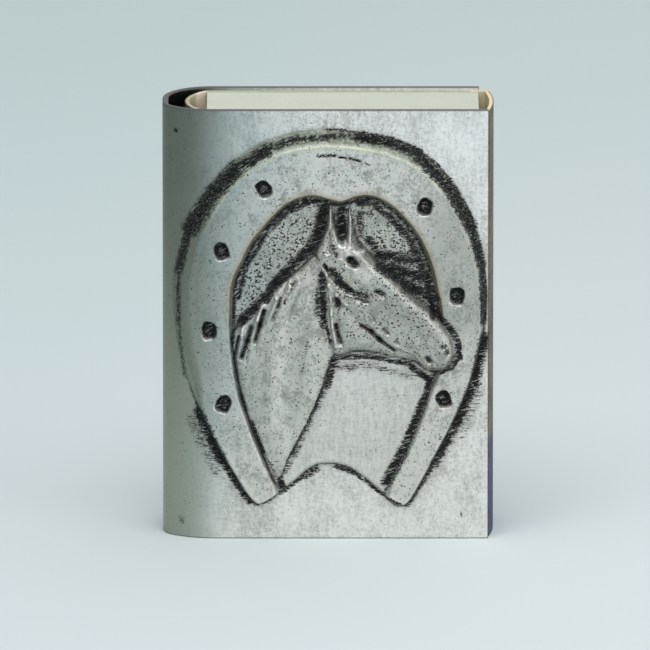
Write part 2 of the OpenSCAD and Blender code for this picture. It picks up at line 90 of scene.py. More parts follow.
# Part of the head that stands higher: the face above the cheekbone
FACE_OUTLINE = (
    (-1.4, 35.6), (-0.4, 33.7), (0.6, 31.8), (1.4, 30.7), (2.6, 29.6), (4.1, 28), (5.1, 27),
    (6.1, 25.9), (7.3, 24.6), (8.8, 23.7), (10.6, 23), (12, 20.8), (18, 19), (18.5, 30),
    (9, 37), (4, 44), (-2, 43.5), (-2.6, 38),
)
# Modelling on the head and neck: from x, z to x, z, then width and height
STROKES = (
    (3, 35.1, 3.5, 34.6, 0.5, -0.75), (2.4, 36, 4.2, 35.8, 0.35, 0.3),
    (4.2, 35.7, 5, 34.7, 0.3, 0.2), (2.6, 34.1, 3.9, 33.7, 0.25, 0.2),
    (1.6, 37.1, 2.3, 35.8, 0.35, 0.3), (3, 37.3, 2.5, 35.9, 0.3, 0.3),
    (0.63, 41.4, 0.5, 39, 0.2, 0.35), (0.5, 39, -0.9, 35.6, 0.22, 0.3),
    (0.75, 39.6, 1.4, 37.2, 0.18, 0.35), (0.5, 38.2, 0.3, 36.2, 0.35, -0.5),
    (2.9, 41.1, 2.85, 37.5, 0.22, 0.35), (3.25, 39.2, 3.3, 37.4, 0.2, -0.2),
    (4.7, 33.3, 5.6, 32.4, 1.1, 0.2), (-0.9, 34.8, 0.1, 33.1, 0.28, 0.4),
    (0.1, 33.1, 0.35, 31.9, 0.28, 0.35), (0.35, 31.9, 1.3, 30.7, 0.25, 0.35),
    (1.3, 30.7, 2.5, 29.5, 0.28, 0.3), (2.5, 29.5, 4.1, 28, 0.3, 0.25),
    (4.1, 28, 6.1, 25.9, 0.3, 0.2), (6.1, 25.9, 7.4, 24.6, 0.28, 0.15),
    (0.35, 31.9, 0.62, 30, 0.22, 0.4), (0.62, 30, 0.68, 28.2, 0.22, 0.4),
    (0.68, 28.2, 0.85, 26.5, 0.22, 0.35), (0.85, 26.5, 1.25, 24.2, 0.22, 0.3),
    (1.45, 30.1, 1.5, 29.3, 0.35, -0.6), (1.35, 29, 1.3, 26.8, 0.3, -0.2),
    (1.25, 26.8, 1.85, 24.7, 0.28, -0.5), (4.3, 26.9, 5.5, 26.2, 0.25, -0.4),
    (5.5, 26.2, 6.5, 25.2, 0.25, -0.5), (6.5, 25.2, 8.3, 23.8, 0.25, -0.45),
    (3.2, 25.9, 4.2, 25.2, 1.6, 0.25), (-0.1, 34.3, 0.1, 34, 0.28, -0.5),
    (0.7, 33.2, 1.1, 32.8, 0.4, -0.6), (1.6, 32.2, 2.6, 31.5, 0.38, -0.55),
    (3, 31.1, 4.9, 30.6, 0.33, -0.45), (6.2, 31, 6.9, 30.7, 0.3, -0.35),
    (3.6, 30.3, 5, 29.9, 0.28, -0.3), (7, 26.5, 7.5, 26, 0.22, -0.4),
    (8.5, 25, 8.7, 24.7, 0.2, -0.35), (5.7, 28.2, 5.85, 27.5, 0.15, -0.25),
    (9, 23.8, 9.1, 23.7, 0.25, -0.3), (14.05, 24.3, 14.1, 24.2, 0.28, -0.6),
    (14.55, 23.7, 14.6, 23.5, 0.28, -0.65), (12.25, 22.9, 12.45, 22.6, 0.33, -0.7),
    (12.4, 22.6, 13.3, 22.2, 0.2, -0.2), (13.1, 24.6, 13.3, 23.2, 0.4, 0.2),
    (13.8, 23.6, 14.2, 22.8, 1, 0.2), (11.3, 26.2, 11.6, 24.2, 0.6, -0.2),
    (-7.4, 28.5, -7.9, 26.7, 0.3, -0.55), (-7.9, 26.7, -8.5, 24.7, 0.26, -0.45),
    (-5.4, 30.1, -5.7, 29.1, 0.24, -0.35), (-5.7, 29.1, -6.4, 27.4, 0.24, -0.3),
    (-8.9, 26.6, -9.4, 24.8, 0.32, -0.55), (-9.4, 24.8, -10.1, 22.7, 0.3, -0.45),
    (-10.4, 25.4, -11, 22.6, 0.24, -0.4), (-3.7, 32.2, -4.8, 30, 0.22, -0.35),
    (-4.7, 32, -5.3, 30.4, 0.2, -0.2), (-4.2, 31.5, -4.6, 30.3, 0.2, 0.35),
    (-5.9, 30, -7, 26.9, 0.26, 0.25), (-7.6, 29.2, -8.2, 27.5, 0.26, 0.3),
    (-8.2, 27.5, -8.9, 25.3, 0.24, 0.25), (-10, 26.4, -10.1, 25.4, 0.25, 0.35),
    (-10.1, 25.4, -10.6, 22.4, 0.22, 0.25), (-9.2, 23.8, -9.6, 22.2, 0.2, -0.2),
    (-3.2, 31.5, -4.6, 27.5, 0.24, -0.15), (-2.6, 31, -3.4, 21, 1.3, 0.3),
    (-0.9, 31.5, -0.7, 26, 0.8, -0.25), (-6.4, 24, -6.6, 15, 1.2, 0.2),
)
# Painted highlight: a bright star on the forehead, from x, z to x, z, then width
FOREHEAD_STAR = (
    (1.8, 36.4, 3.1, 36.7, 0.16), (2.4, 37.2, 2.6, 35.9, 0.16), (2, 36, 3, 37.1, 0.12),
    (2.3, 36.5, 2.7, 36.6, 0.35), (1.6, 35.5, 1.9, 35.3, 0.2), (3.4, 36.2, 4.6, 35.9, 0.14),
)
# Painted shade and painted light in bands down the neck, for its modelling: from x, z to x, z, then width
# and strength, positive for painted shade and negative for painted light
NECK_SHADES = (
    (-2, 27, -4.3, 14.7, 0.6, 0.3), (-6.9, 25, -7.6, 15, 0.5, 0.25), (-9, 22, -8.4, 15, 0.4, 0.25),
    (-5.2, 27, -5.8, 14, 0.7, -0.3), (-3.6, 20, -5, 11, 0.5, -0.3), (-1.2, 27, -1.6, 18, 0.4, -0.25),
    (3.2, 26.5, 8, 24.5, 0.5, 0.25), (6, 30, 11, 27, 1, 0.2), (2.2, 28.5, 4.5, 25, 0.5, -0.3),
)
# Nail holes of the horseshoe: x, z and the way each one leans
NAIL_HOLES = (
    (-7.4, 43.6, 30), (-12.5, 35.9, 15), (-14, 26.1, 0), (-12.3, 17, -25),
    (11.9, 41.4, -20), (15.8, 30.4, -5), (14.2, 17.6, 20),
)
# Black patina: from x, z to x, z, then width and strength
STAINS = (
    (-15.2, 15.6, -12.5, 9.9, 0.9, 1), (-12.5, 9.9, -9.2, 4.7, 0.6, 0.95),
    (-16.2, 14.8, -13.2, 8.4, 1.2, 0.5), (-13, 8.4, -10, 4.6, 0.8, 0.4),
    (-17, 20, -17.7, 27, 0.35, 0.65),
    (-17.7, 27, -17.7, 33, 0.42, 0.75), (-17.7, 33, -16.4, 38.4, 0.65, 0.92),
    (-16.3, 38.4, -13.5, 43, 1.15, 1.05), (-13.5, 43, -10.7, 46, 1.1, 1.05),
    (-10.7, 46, -7, 48.3, 0.9, 1), (-7, 48.5, -3.5, 49.6, 0.65, 0.8),
    (-3.5, 49.6, 2, 50, 0.55, 0.72), (2, 50, 3.8, 49.9, 0.5, 0.7), (3.8, 49.9, 8, 49.2, 0.75, 1),
    (8, 49.2, 11, 47.9, 0.75, 1), (11.1, 47.5, 14.7, 43.9, 0.8, 1),
    (14.7, 43.9, 17.5, 38.8, 0.85, 1.1), (17.5, 38.8, 18.8, 34, 0.65, 1.05),
    (18.8, 34, 19, 27, 0.5, 1), (19.1, 25, 17.9, 19.5, 0.85, 1),
    (17.9, 19.5, 15.8, 14.4, 0.85, 1), (15.8, 14.4, 13.1, 9.4, 0.7, 0.95),
    (18.6, 18.6, 16.4, 12.6, 1.4, 0.45), (16, 12.6, 12.6, 7, 0.9, 0.4),
    (13.1, 9.4, 9.9, 4.2, 0.4, 0.9), (9.9, 4.2, 6.6, 5.6, 0.25, 0.9),
    (6.6, 5.6, 3.4, 8.2, 0.25, 0.85), (3.6, 8.1, 1.3, 9, 0.4, 0.9), (1.3, 9, -1.5, 8.9, 0.2, 0.7),
    (-1, 8.6, -2.4, 7.7, 0.5, 0.8), (-2.4, 7.9, -5.2, 5.8, 0.3, 0.95),
    (-5.2, 5.8, -8.4, 4.1, 0.22, 0.9), (-0.9, 47.75, 1.2, 47.8, 0.28, 0.85),
    (1.6, 47.6, 2.4, 47.5, 0.2, 0.9), (2.9, 47.45, 4.2, 47.1, 0.2, 0.9), (4.7, 46.9, 5.3, 46.6, 0.15, 0.8),
    (-0.2, 41.2, -0.7, 38, 0.95, 1), (-0.8, 38, -2, 35.9, 0.9, 1), (-2, 35.9, -4.2, 34, 0.75, 1),
    (-4.2, 33.7, -6.2, 31.6, 0.8, 1.05), (-6.2, 31.6, -7.2, 29.9, 0.7, 1),
    (-7, 30.6, -8.6, 29, 0.7, 0.75), (-8.4, 28.9, -10.2, 27.1, 0.75, 0.95),
    (-2.1, 25, -2.8, 21.2, 0.25, 0.5), (-10.6, 22, -10.5, 18.5, 0.16, 0.6),
    (-11, 28, -11.1, 24.5, 0.35, 0.7), (-10.5, 30, -9.5, 34, 0.45, 0.85),
    (-9.5, 34, -7, 38.1, 0.4, 0.85), (-7, 38.1, -4.4, 40.8, 0.45, 0.85),
    (-4.4, 40.8, -2.2, 41.7, 0.5, 1),
    (1.9, 40.9, 1.95, 38, 0.7, 1.1), (0, 42, -2.6, 42, 0.4, 1), (4, 41.8, 6, 42, 0.6, 1),
    (4, 40.3, 4.3, 37.7, 0.55, 0.75), (5.2, 37.2, 5.9, 36.3, 0.6, 1), (6.4, 35.4, 9.8, 34.8, 0.8, 1),
    (9.8, 34.8, 11.6, 34, 0.7, 0.8), (6.4, 34.2, 9.4, 32, 0.7, 0.95), (4, 40.6, 5.4, 40.2, 0.5, 0.6),
    (8, 33.6, 12, 32.6, 1, 1), (9.8, 31.6, 13, 30, 0.95, 1.05), (10.3, 37.1, 11.9, 32.5, 0.75, 0.9),
    (8, 39.7, 10.3, 37.1, 0.6, 0.95), (5.9, 41.5, 8, 39.7, 0.5, 1),
    (12.2, 32, 13, 28, 0.5, 1.1), (13.5, 28, 15, 26.4, 0.5, 1),
    (15, 26.4, 15.9, 24.7, 0.55, 1), (15.9, 24.7, 16.1, 22.9, 0.5, 1),
    (16.1, 22.9, 15.2, 21.5, 0.35, 0.9), (15.2, 21.5, 13.7, 20.8, 0.25, 0.8), (1, 22.6, 5, 22.8, 0.45, 0.9),
    (5, 22.8, 10.4, 21.7, 0.4, 0.9), (10.4, 21.4, 12.3, 20, 0.5, 1), (1.2, 21.4, 6, 21.6, 0.9, 0.55),
    (6, 21.4, 10.5, 20.2, 0.8, 0.5),
    (1, 22.3, 0.1, 19.2, 0.7, 0.95), (-0.2, 19.4, -1.3, 16.5, 0.25, 0.9),
    (-1.3, 16.5, -3.5, 12, 0.22, 0.85), (-3.5, 12, -4.6, 9.9, 0.25, 0.8),
    (-10.2, 18.2, -9.6, 16.2, 0.3, 0.9), (-8.9, 14.8, -7.5, 11, 0.34, 0.95),
    (-7.5, 11, -5.9, 8, 0.4, 0.5), (-5.5, 7.6, -5.2, 6.6, 0.5, 1),
    (12.6, 20, 11.8, 17, 0.5, 1), (11.7, 17, 9.4, 11.2, 0.68, 1), (9.4, 11.2, 7.3, 7.1, 0.8, 1),
    (0.4, 19.6, -0.8, 16.3, 0.6, 0.5), (-0.8, 16.3, -3, 11.8, 0.5, 0.45), (-3, 11.8, -4.9, 8.4, 0.55, 0.6),
    (-0.4, 33, -0.2, 26.8, 0.6, 0.95), (-0.9, 31.2, -1, 28.2, 0.6, 0.65),
    (0.1, 26.8, 0.6, 24.6, 0.28, 0.85), (1.4, 30.2, 1.55, 29.5, 0.42, 1.1),
    (1.2, 26.8, 1.8, 24.9, 0.26, 0.95), (-0.1, 34.4, 0.3, 33.8, 0.33, 0.95),
    (0.8, 33.9, 1.7, 32.6, 0.6, 0.9), (1.5, 32.4, 2.8, 31.4, 0.6, 1),
    (2.8, 31.2, 4.8, 30.6, 0.45, 0.8), (6.1, 31.3, 7, 30.9, 0.42, 0.85),
    (2.1, 29.9, 3.5, 28, 0.16, 0.6), (3.5, 28, 4.3, 26.9, 0.16, 0.6), (3.9, 32.4, 5, 31.8, 0.35, 0.4),
    (3.3, 30.4, 5, 29.9, 0.33, 0.65), (0.8, 36.8, 1.4, 35.5, 0.38, 0.75),
    (3, 35.1, 3.5, 34.6, 0.55, 1.1), (4.3, 26.9, 5.5, 26.2, 0.2, 0.85),
    (5.5, 26.2, 6.5, 25.2, 0.2, 0.95), (6.5, 25.2, 8.3, 23.8, 0.2, 0.9),
    (-7.4, 28.5, -7.9, 26.7, 0.28, 1.05), (-7.9, 26.7, -8.4, 25, 0.24, 0.95),
    (-5.4, 30.1, -5.7, 29.1, 0.2, 0.85), (-5.7, 29.1, -6.3, 27.8, 0.2, 0.65),
    (-8.9, 26.4, -9.4, 24.8, 0.26, 1), (-9.4, 24.8, -10.05, 22.9, 0.28, 0.95),
    (-10.4, 25.4, -11.05, 22.6, 0.22, 0.95), (-3.7, 32.2, -4.5, 30.5, 0.2, 0.7),
    (-4.9, 29.8, -4.9, 29.6, 0.25, 0.9), (-9.3, 23.6, -9.5, 22.6, 0.16, 0.6),
    (-18, 50.2, -18, 50.3, 0.25, 1.2), (-17.3, 1.8, -17.4, 2.3, 0.5, 0.6),
    (16.5, 3.5, 16.1, 2, 0.12, 0.9),
)


# Places and sizes in millimetres, taken from the frame

def node_box(name):
    """Lowest and highest corner of a node, in millimetres."""
    low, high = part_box(name)
    return np.array(low) / MM, np.array(high) / MM


COVER_LOW, COVER_HIGH = node_box("cover")
MEDALLION_LOW, MEDALLION_HIGH = node_box("medallion")
SLEEVE_LOW, SLEEVE_HIGH = node_box("sleeve")
TRAY_LOW, TRAY_HIGH = node_box("tray")
SPINE_X = COVER_LOW[0]
FRONT_Y = COVER_LOW[1]
COVER_D = COVER_HIGH[1] - COVER_LOW[1]
COVER_H = COVER_HIGH[2]
FRONT_W = COVER_HIGH[0] - COVER_LOW[0]
RELIEF_H = FRONT_Y - MEDALLION_LOW[1]
# The drawing's left and lower limits, its height, and where those come on the cover
DRAWN_X = -18.4
DRAWN_Z = 4.0
DRAWN_H = 46.6
MEDALLION_SPINE_EDGE = 1.2
MEDALLION_FOOT_EDGE = 4.0
MEDALLION_TOP_EDGE = 2.5
WALL = 0.72
BACK_SHORT = 1.1
BEND_SIDE_R = 3.2
BEND_FRONT_R = 8.0
BEND_FRONT_D = 4.3
BEND_BACK_R = 6.0
SHOE_H = 1.4
GROUND_H = 0.5
NECK_H = 1.5
FOOT_H = 0.12
WALL_SLOPE = 0.45
APRON_SLOPE = 1.45
INNER_SLOPE = 0.6
JOWL_H = 1.9
FACE_SLOPE = 0.5
GROUND_SLOPE = 0.4
HEAD_ROUND = 1.3
NECK_ROUND = 1.8
NAIL_W = 1.8
NAIL_H = 2.25
NAIL_DEPTH = 0.7
CARD = 0.4
BOW_SPINE = 2.4
BOW_FORE = 0.6

# How much the drawing is drawn out or in to fit the cover
SCALE_Z = (COVER_H - MEDALLION_TOP_EDGE - MEDALLION_FOOT_EDGE) / DRAWN_H

BEND_STEP = math.sqrt((BEND_FRONT_R - BEND_SIDE_R) ** 2 - (BEND_FRONT_R - BEND_FRONT_D) ** 2)
BEND_FRONT_X = BEND_SIDE_R + BEND_STEP
BEND_JOINT = math.atan2(BEND_FRONT_D - BEND_FRONT_R, -BEND_STEP)


def front_depth(x):
    """Depth of the cover's outside behind the front flap's plane at x from the spine: a wide
    arc that runs into the flap, then a tight one round to the spine."""
    joint_x = BEND_FRONT_X + BEND_FRONT_R * math.cos(BEND_JOINT)
    wide = BEND_FRONT_R - np.sqrt(
        np.maximum(BEND_FRONT_R**2 - np.maximum(BEND_FRONT_X - x, 0) ** 2, 0))
    tight = BEND_FRONT_D - np.sqrt(
        np.maximum(BEND_SIDE_R**2 - np.maximum(BEND_SIDE_R - x, 0) ** 2, 0))
    return np.where(x >= joint_x, wide, tight)


# Fields over the drawing: distances, heights and stains, each a grid that is sampled between
# its points

FIELD_X = (-22.0, 22.0)
FIELD_Z = (-2.0, 56.0)
FIELD_CELL = 0.1


def closed_curve(points, steps=6):
    """Closed Catmull-Rom curve through the points of an outline."""
    b = np.array(points, float)
    a, c, d = np.roll(b, 1, 0), np.roll(b, -1, 0), np.roll(b, -2, 0)
    t = (np.arange(steps) / steps)[None, :, None]
    a, b, c, d = (p[:, None, :] for p in (a, b, c, d))
    curve = 0.5 * (2 * b + (c - a) * t + (2 * a - 5 * b + 4 * c - d) * t**2
                   + (3 * b - a - 3 * c + d) * t**3)
    return curve.reshape(-1, 2)


def line_distance(x, z, start, end):
    """Distance from points to the line between two points."""
    along = np.subtract(end, start)
    length = max(float(along @ along), 1e-9)
    t = np.clip(((x - start[0]) * along[0] + (z - start[1]) * along[1]) / length, 0, 1)
    return np.hypot(x - start[0] - t * along[0], z - start[1] - t * along[1])


def inside_distance(x, z, curve):
    """Distance to a closed curve, positive inside it: the nearest of its lines, with the sign
    from how often a ray towards +x crosses it."""
    near = np.full(x.shape, np.inf)
    crossings = np.zeros(x.shape, bool)
    for start, end in zip(curve, np.roll(curve, -1, 0)):
        np.minimum(near, line_distance(x, z, start, end), out=near)
        if start[1] != end[1]:
            cut = start[0] + (end[0] - start[0]) * (z - start[1]) / (end[1] - start[1])
            crossings ^= ((start[1] > z) != (end[1] > z)) & (x < cut)
    return np.where(crossings, near, -near)


class Field:
    """A grid of values over the drawing, read at any point by linear interpolation."""

    def __init__(self, values):
        self.values = values

    def __call__(self, x, z):
        rows, columns = self.values.shape
        u = np.clip((x - FIELD_X[0]) / FIELD_CELL, 0, columns - 1.001)
        v = np.clip((z - FIELD_Z[0]) / FIELD_CELL, 0, rows - 1.001)
        i, j = u.astype(int), v.astype(int)
        u, v = u - i, v - j
        g = self.values
        low = g[j, i] * (1 - u) + g[j, i + 1] * u
        high = g[j + 1, i] * (1 - u) + g[j + 1, i + 1] * u
        return low * (1 - v) + high * v


def field_points():
    """The x and z of every point of a field's grid."""
    xs = np.arange(FIELD_X[0], FIELD_X[1] + FIELD_CELL / 2, FIELD_CELL)
    zs = np.arange(FIELD_Z[0], FIELD_Z[1] + FIELD_CELL / 2, FIELD_CELL)
    return np.meshgrid(xs, zs)


def blurred(values, radius):
    """Gaussian blur of a grid, radius in millimetres, rows first and then columns."""
    reach = int(3 * radius / FIELD_CELL)
    taps = np.exp(-0.5 * (np.arange(-reach, reach + 1) * FIELD_CELL / radius) ** 2)
    taps /= taps.sum()
    out = values
    for axis in (0, 1):
        padded = np.pad(out, [(reach, reach) if k == axis else (0, 0) for k in (0, 1)], "edge")
        size = values.shape[axis]
        out = sum(w * np.take(padded, range(k, k + size), axis) for k, w in enumerate(taps))
    return out


def rounded(d, width):
    """Profile that rises as a quarter circle over the given width."""
    u = np.clip(d / width, 0, 1)
    return np.sqrt(1 - (1 - u) ** 2)


def slope(d, width):
    """Profile that rises along an S-curve over the given width."""
    u = np.clip(d / width, 0, 1)
    return u * u * (3 - 2 * u)


GRID_X, GRID_Z = field_points()
to_foot = Field(inside_distance(GRID_X, GRID_Z, closed_curve(FOOT_OUTLINE)))
to_inside = Field(inside_distance(GRID_X, GRID_Z, closed_curve(INSIDE_OUTLINE)))
to_head = Field(inside_distance(GRID_X, GRID_Z, closed_curve(HEAD_OUTLINE)))
to_neck = Field(inside_distance(GRID_X, GRID_Z, closed_curve(NECK_OUTLINE)))
to_face = Field(inside_distance(GRID_X, GRID_Z, closed_curve(FACE_OUTLINE)))


def modelling(x, z):
    """Sum of the strokes: each is a Gaussian ridge or groove along its line."""
    added = np.zeros_like(x)
    for x0, z0, x1, z1, width, height in STROKES:
        added += height * np.exp(-(line_distance(x, z, (x0, z0), (x1, z1)) / width) ** 2)
    return added


def hole_place(x, z, x0, z0, lean):
    """Where points lie in a leaning nail hole: across, up, and 1 on its rounded square rim."""
    cos, sin = math.cos(math.radians(lean)), math.sin(math.radians(lean))
    u = (x - x0) * cos + (z - z0) * sin
    v = (z - z0) * cos - (x - x0) * sin
    reach = (np.abs(2 * u / NAIL_W) ** 2.7 + np.abs(2 * v / NAIL_H) ** 2.7) ** (1 / 2.7)
    turn = np.arctan2(v, u)
    wobble = np.sin(3 * turn + x0) + 0.7 * np.sin(5 * turn + 2 * z0) + 0.5 * np.sin(8 * turn + z0)
    return u, v, reach * (1 + 0.035 * wobble)


def nail_cut(x, z):
    """Depth of the nail holes: a rounded square well at each place with a raised lip."""
    depth = np.zeros_like(x)
    for x0, z0, lean in NAIL_HOLES:
        reach = hole_place(x, z, x0, z0, lean)[2]
        well = np.clip((1.05 - reach) / 0.3, 0, 1)
        lip = np.exp(-((reach - 1.15) / 0.15) ** 2)
        depth += NAIL_DEPTH * well * well * (3 - 2 * well) - 0.04 * lip
    return depth


def shoe_slope(x, z):
    """Width of the horseshoe's outer slope: steep low down, a wide apron round the top."""
    left = slope(z - 15, 6)
    right = slope(z - 22, 28)
    side = slope(x + 6, 12)
    return WALL_SLOPE + APRON_SLOPE * (left * (1 - side) + right * side)


def shoe_height(x, z):
    """Horseshoe: an S-curve up from its foot and down to the ground inside it, with a slight
    bead along its shoulder."""
    foot_d, width = to_foot(x, z), shoe_slope(x, z)
    rise = slope(foot_d, width)
    inner = slope(-to_inside(x, z), INNER_SLOPE)
    bead = 0.1 * np.exp(-((foot_d - width - 0.1) / 0.3) ** 2)
    height = np.minimum(SHOE_H * rise, GROUND_H - 0.03 + (SHOE_H - GROUND_H + 0.03) * inner)
    return height + bead * rise * inner - nail_cut(x, z)


def ground_height(x, z):
    """Ground inside the horseshoe: flat, with an edge along the arch."""
    return GROUND_H * slope(to_foot(x, z), GROUND_SLOPE)


def horse_height(x, z):
    """Horse: head and neck round off towards their outlines, the face stands a step higher,
    and all of it carries the strokes."""
    head_d, neck_d = to_head(x, z), to_neck(x, z)
    crown = JOWL_H + (RELIEF_H - 0.1 - JOWL_H) * slope(to_face(x, z) + 0.1, FACE_SLOPE)
    head = GROUND_H + (crown - GROUND_H) * rounded(head_d, HEAD_ROUND)
    neck = GROUND_H + (NECK_H - GROUND_H) * rounded(neck_d, NECK_ROUND)
    height = np.where(head_d > 0, np.maximum(head, neck), neck)
    edge = slope(np.maximum(head_d, neck_d), 0.4)
    return np.clip(height + modelling(x, z) * edge, GROUND_H - 0.05, RELIEF_H)


def horse_inside(x, z):
    """Distance inside the horse's outline."""
    return np.maximum(to_head(x, z), to_neck(x, z))


def relief_height(x, z):
    """Height of the whole relief above the flap."""
    ground = np.where(to_foot(x, z) > 0, ground_height(x, z), 0)
    shoe = np.where(to_foot(x, z) > 0, shoe_height(x, z), 0)
    horse = np.where(horse_inside(x, z) > 0, horse_height(x, z), 0)
    return np.maximum(np.maximum(ground, shoe), horse)


relief_grid = relief_height(GRID_X, GRID_Z)
filled_grid = relief_grid + nail_cut(GRID_X, GRID_Z)


def stain(x, z):
    """Strength of the black patina: the strokes, and a line along every edge of the relief."""
    worst = np.zeros_like(x)
    for x0, z0, x1, z1, width, strength in STAINS:
        d = line_distance(x, z, (x0, z0), (x1, z1))
        worst = np.maximum(worst, strength * np.exp(-((d / width) ** 2)))
    horse, inside, foot = horse_inside(x, z), to_inside(x, z), to_foot(x, z)
    off_horse = horse < 0.05
    reach = np.where(inside > 0, 0.38, 0.16)
    inner = np.exp(-((inside / reach) ** 2)) * (0.65 + 0.35 * slope(z - 24, 6))
    crest = slope(x - 3.2, 0.8) * slope(z + 0.7 * x - 33, 3)
    lower_left = slope(24 - z, 3) * slope(-6 - x, 1.5)
    outline = (0.8 - 0.6 * crest - 0.4 * lower_left) * np.exp(-((horse / 0.16) ** 2))
    wall = 0.85 * np.exp(-((foot / 0.16) ** 2)) * (1 - 0.6 * slope(z - 17, 5) * (x < 0))
    worst = np.maximum(worst, np.where(off_horse & (foot > 0), inner, 0))
    return np.maximum(worst, np.maximum(outline, wall))


def pitting(x, z):
    """How thickly the black specks lie: most on the ground round the head."""
    horse, inside, foot = horse_inside(x, z), to_inside(x, z), to_foot(x, z)
    ground = 0.15 + 1.05 * slope(z - 23, 5)
    face = np.where(to_head(x, z) > 0, 0.88, 0.6)
    return np.where(foot < 0, 0.15, np.where(horse > 0, face, np.where(inside > 0, ground, 0.45)))


def coarseness(x, z):
    """How rough the casting's skin is: the flap is smooth, the horse and the horseshoe are not."""
    horse, inside, foot = horse_inside(x, z), to_inside(x, z), to_foot(x, z)
    ground = 0.15 + 0.7 * slope(z - 23, 5)
    return np.where(foot < 0, 0.35, np.where(horse > 0, 1, np.where(inside > 0, ground, 0.8)))


def dullness(x, z):
    """How much duller the metal is: most on the head, and on the horseshoe's right side, with painted shade
    and painted light in the bands down the neck.
    """
    horse, inside, foot = horse_inside(x, z), to_inside(x, z), to_foot(x, z)
    head = np.where(to_head(x, z) > 0, 0.9, 0.68)
    shoe = 0.46 + 0.45 * slope(x - 9, 5) * slope(z - 22, 6) * slope(46 - z, 6)
    ground = 0.3 + 0.5 * slope(z - 23, 5)
    for x0, z0, x1, z1, width, added in NECK_SHADES:
        head = head + added * np.exp(-(line_distance(x, z, (x0, z0), (x1, z1)) / width) ** 2)
    return np.where(foot < 0, 0, np.where(horse > 0, head, np.where(inside > 0, ground, shoe)))


def inner_edge(x, z):
    """The horseshoe's inner edge, tan: partly tarnish and partly painted shade where the upper arch faces
    down.
    """
    depth = -to_inside(x, z)
    band = np.exp(-(((depth - 0.35) / 0.55) ** 2)) * slope(z - 24, 8)
    return np.where((depth > -0.1) & (horse_inside(x, z) < 0), band, 0)


def outer_edge(x, z):
    """The horseshoe's outer slope, green-grey: partly tarnish and partly painted shade of the slope."""
    depth, width = to_foot(x, z), shoe_slope(x, z)
    strength = 0.6 + 0.4 * slope(z - 38, 6)
    return strength * slope(depth + 0.05, 0.1) * (1 - slope(depth - width * 0.6, width * 0.5))


def shoulder(x, z):
    """Painted highlight: a pale line along the horseshoe's upper shoulder."""
    line = np.exp(-(((to_foot(x, z) - shoe_slope(x, z) - 0.05) / 0.14) ** 2))
    return 0.7 * line * slope(z - 39 - 0.12 * x, 6) * (to_inside(x, z) < 0)


def worn(x, z):
    """Painted highlights: bright metal on the crests of the narrow ridges, on the forehead and brow,
    and on the lower lip of each nail hole, where it faces the light.
    """
    best = 0.5 * np.exp(-(line_distance(x, z, (3.8, 33.6), (5.2, 33)) / 0.7) ** 2)
    for x0, z0, x1, z1, width in FOREHEAD_STAR:
        line = np.exp(-(line_distance(x, z, (x0, z0), (x1, z1)) / width) ** 2)
        best = np.maximum(best, line)
    for x0, z0, x1, z1, width, height in STROKES:
        if height >= 0.3 and width < 0.4:
            line = 0.75 * np.exp(-(line_distance(x, z, (x0, z0), (x1, z1)) / (0.5 * width)) ** 2)
            best = np.maximum(best, line)
    for x0, z0, lean in NAIL_HOLES:
        u, v, reach = hole_place(x, z, x0, z0, lean)
        lip = 0.8 * np.exp(-(((reach - 0.98) / 0.13) ** 2))
        lip = lip * slope(-0.15 - v / NAIL_H - 0.4 * u / NAIL_W, 0.4)
        best = np.maximum(best, lip)
    return best


def hole_stain(x, z):
    """Patina that fills the nail holes."""
    worst = np.zeros_like(x)
    for x0, z0, lean in NAIL_HOLES:
        reach = hole_place(x, z, x0, z0, lean)[2]
        filled = 0.72 + 0.38 * slope(reach - 0.3, 0.4)
        worst = np.maximum(worst, filled * (1 - slope(reach - 0.78, 0.4)))
    return worst


SKIN = {
    "stain": Field(np.maximum(stain(GRID_X, GRID_Z), hole_stain(GRID_X, GRID_Z))),
    "pitting": Field(blurred(pitting(GRID_X, GRID_Z), 0.3)),
    "coarse": Field(blurred(coarseness(GRID_X, GRID_Z), 0.15)),
    "dull": Field(blurred(dullness(GRID_X, GRID_Z), 0.3)),
    "hollow": Field(blurred(filled_grid, 0.35) - filled_grid),
    "wide_hollow": Field(blurred(filled_grid, 1.2) - filled_grid),
    "tan": Field(inner_edge(GRID_X, GRID_Z)),
    "green": Field(outer_edge(GRID_X, GRID_Z)),
    "shoulder": Field(shoulder(GRID_X, GRID_Z)),
    "worn": Field(worn(GRID_X, GRID_Z)),
}


# Meshes

def add_mesh(name, points, faces, attributes=None, smooth=True):
    """Makes an object from an array of points in millimetres and an array of faces."""
    mesh = bpy.data.meshes.new(name)
    mesh.from_pydata((np.asarray(points) * MM).tolist(), [], [list(f) for f in faces])
    mesh.validate()
    for key, values in (attributes or {}).items():
        layer = mesh.attributes.new(key, "FLOAT", "POINT")
        layer.data.foreach_set("value", np.asarray(values, np.float32))
    mesh.polygons.foreach_set("use_smooth", np.full(len(mesh.polygons), smooth))
    mesh.update()
    piece = bpy.data.objects.new(name, mesh)
    bpy.context.scene.collection.objects.link(piece)
    return piece


def drawing_attributes(x, z):
    """What the pewter material reads at each point of the drawing."""
    return {key: field(x, z) for key, field in SKIN.items()}


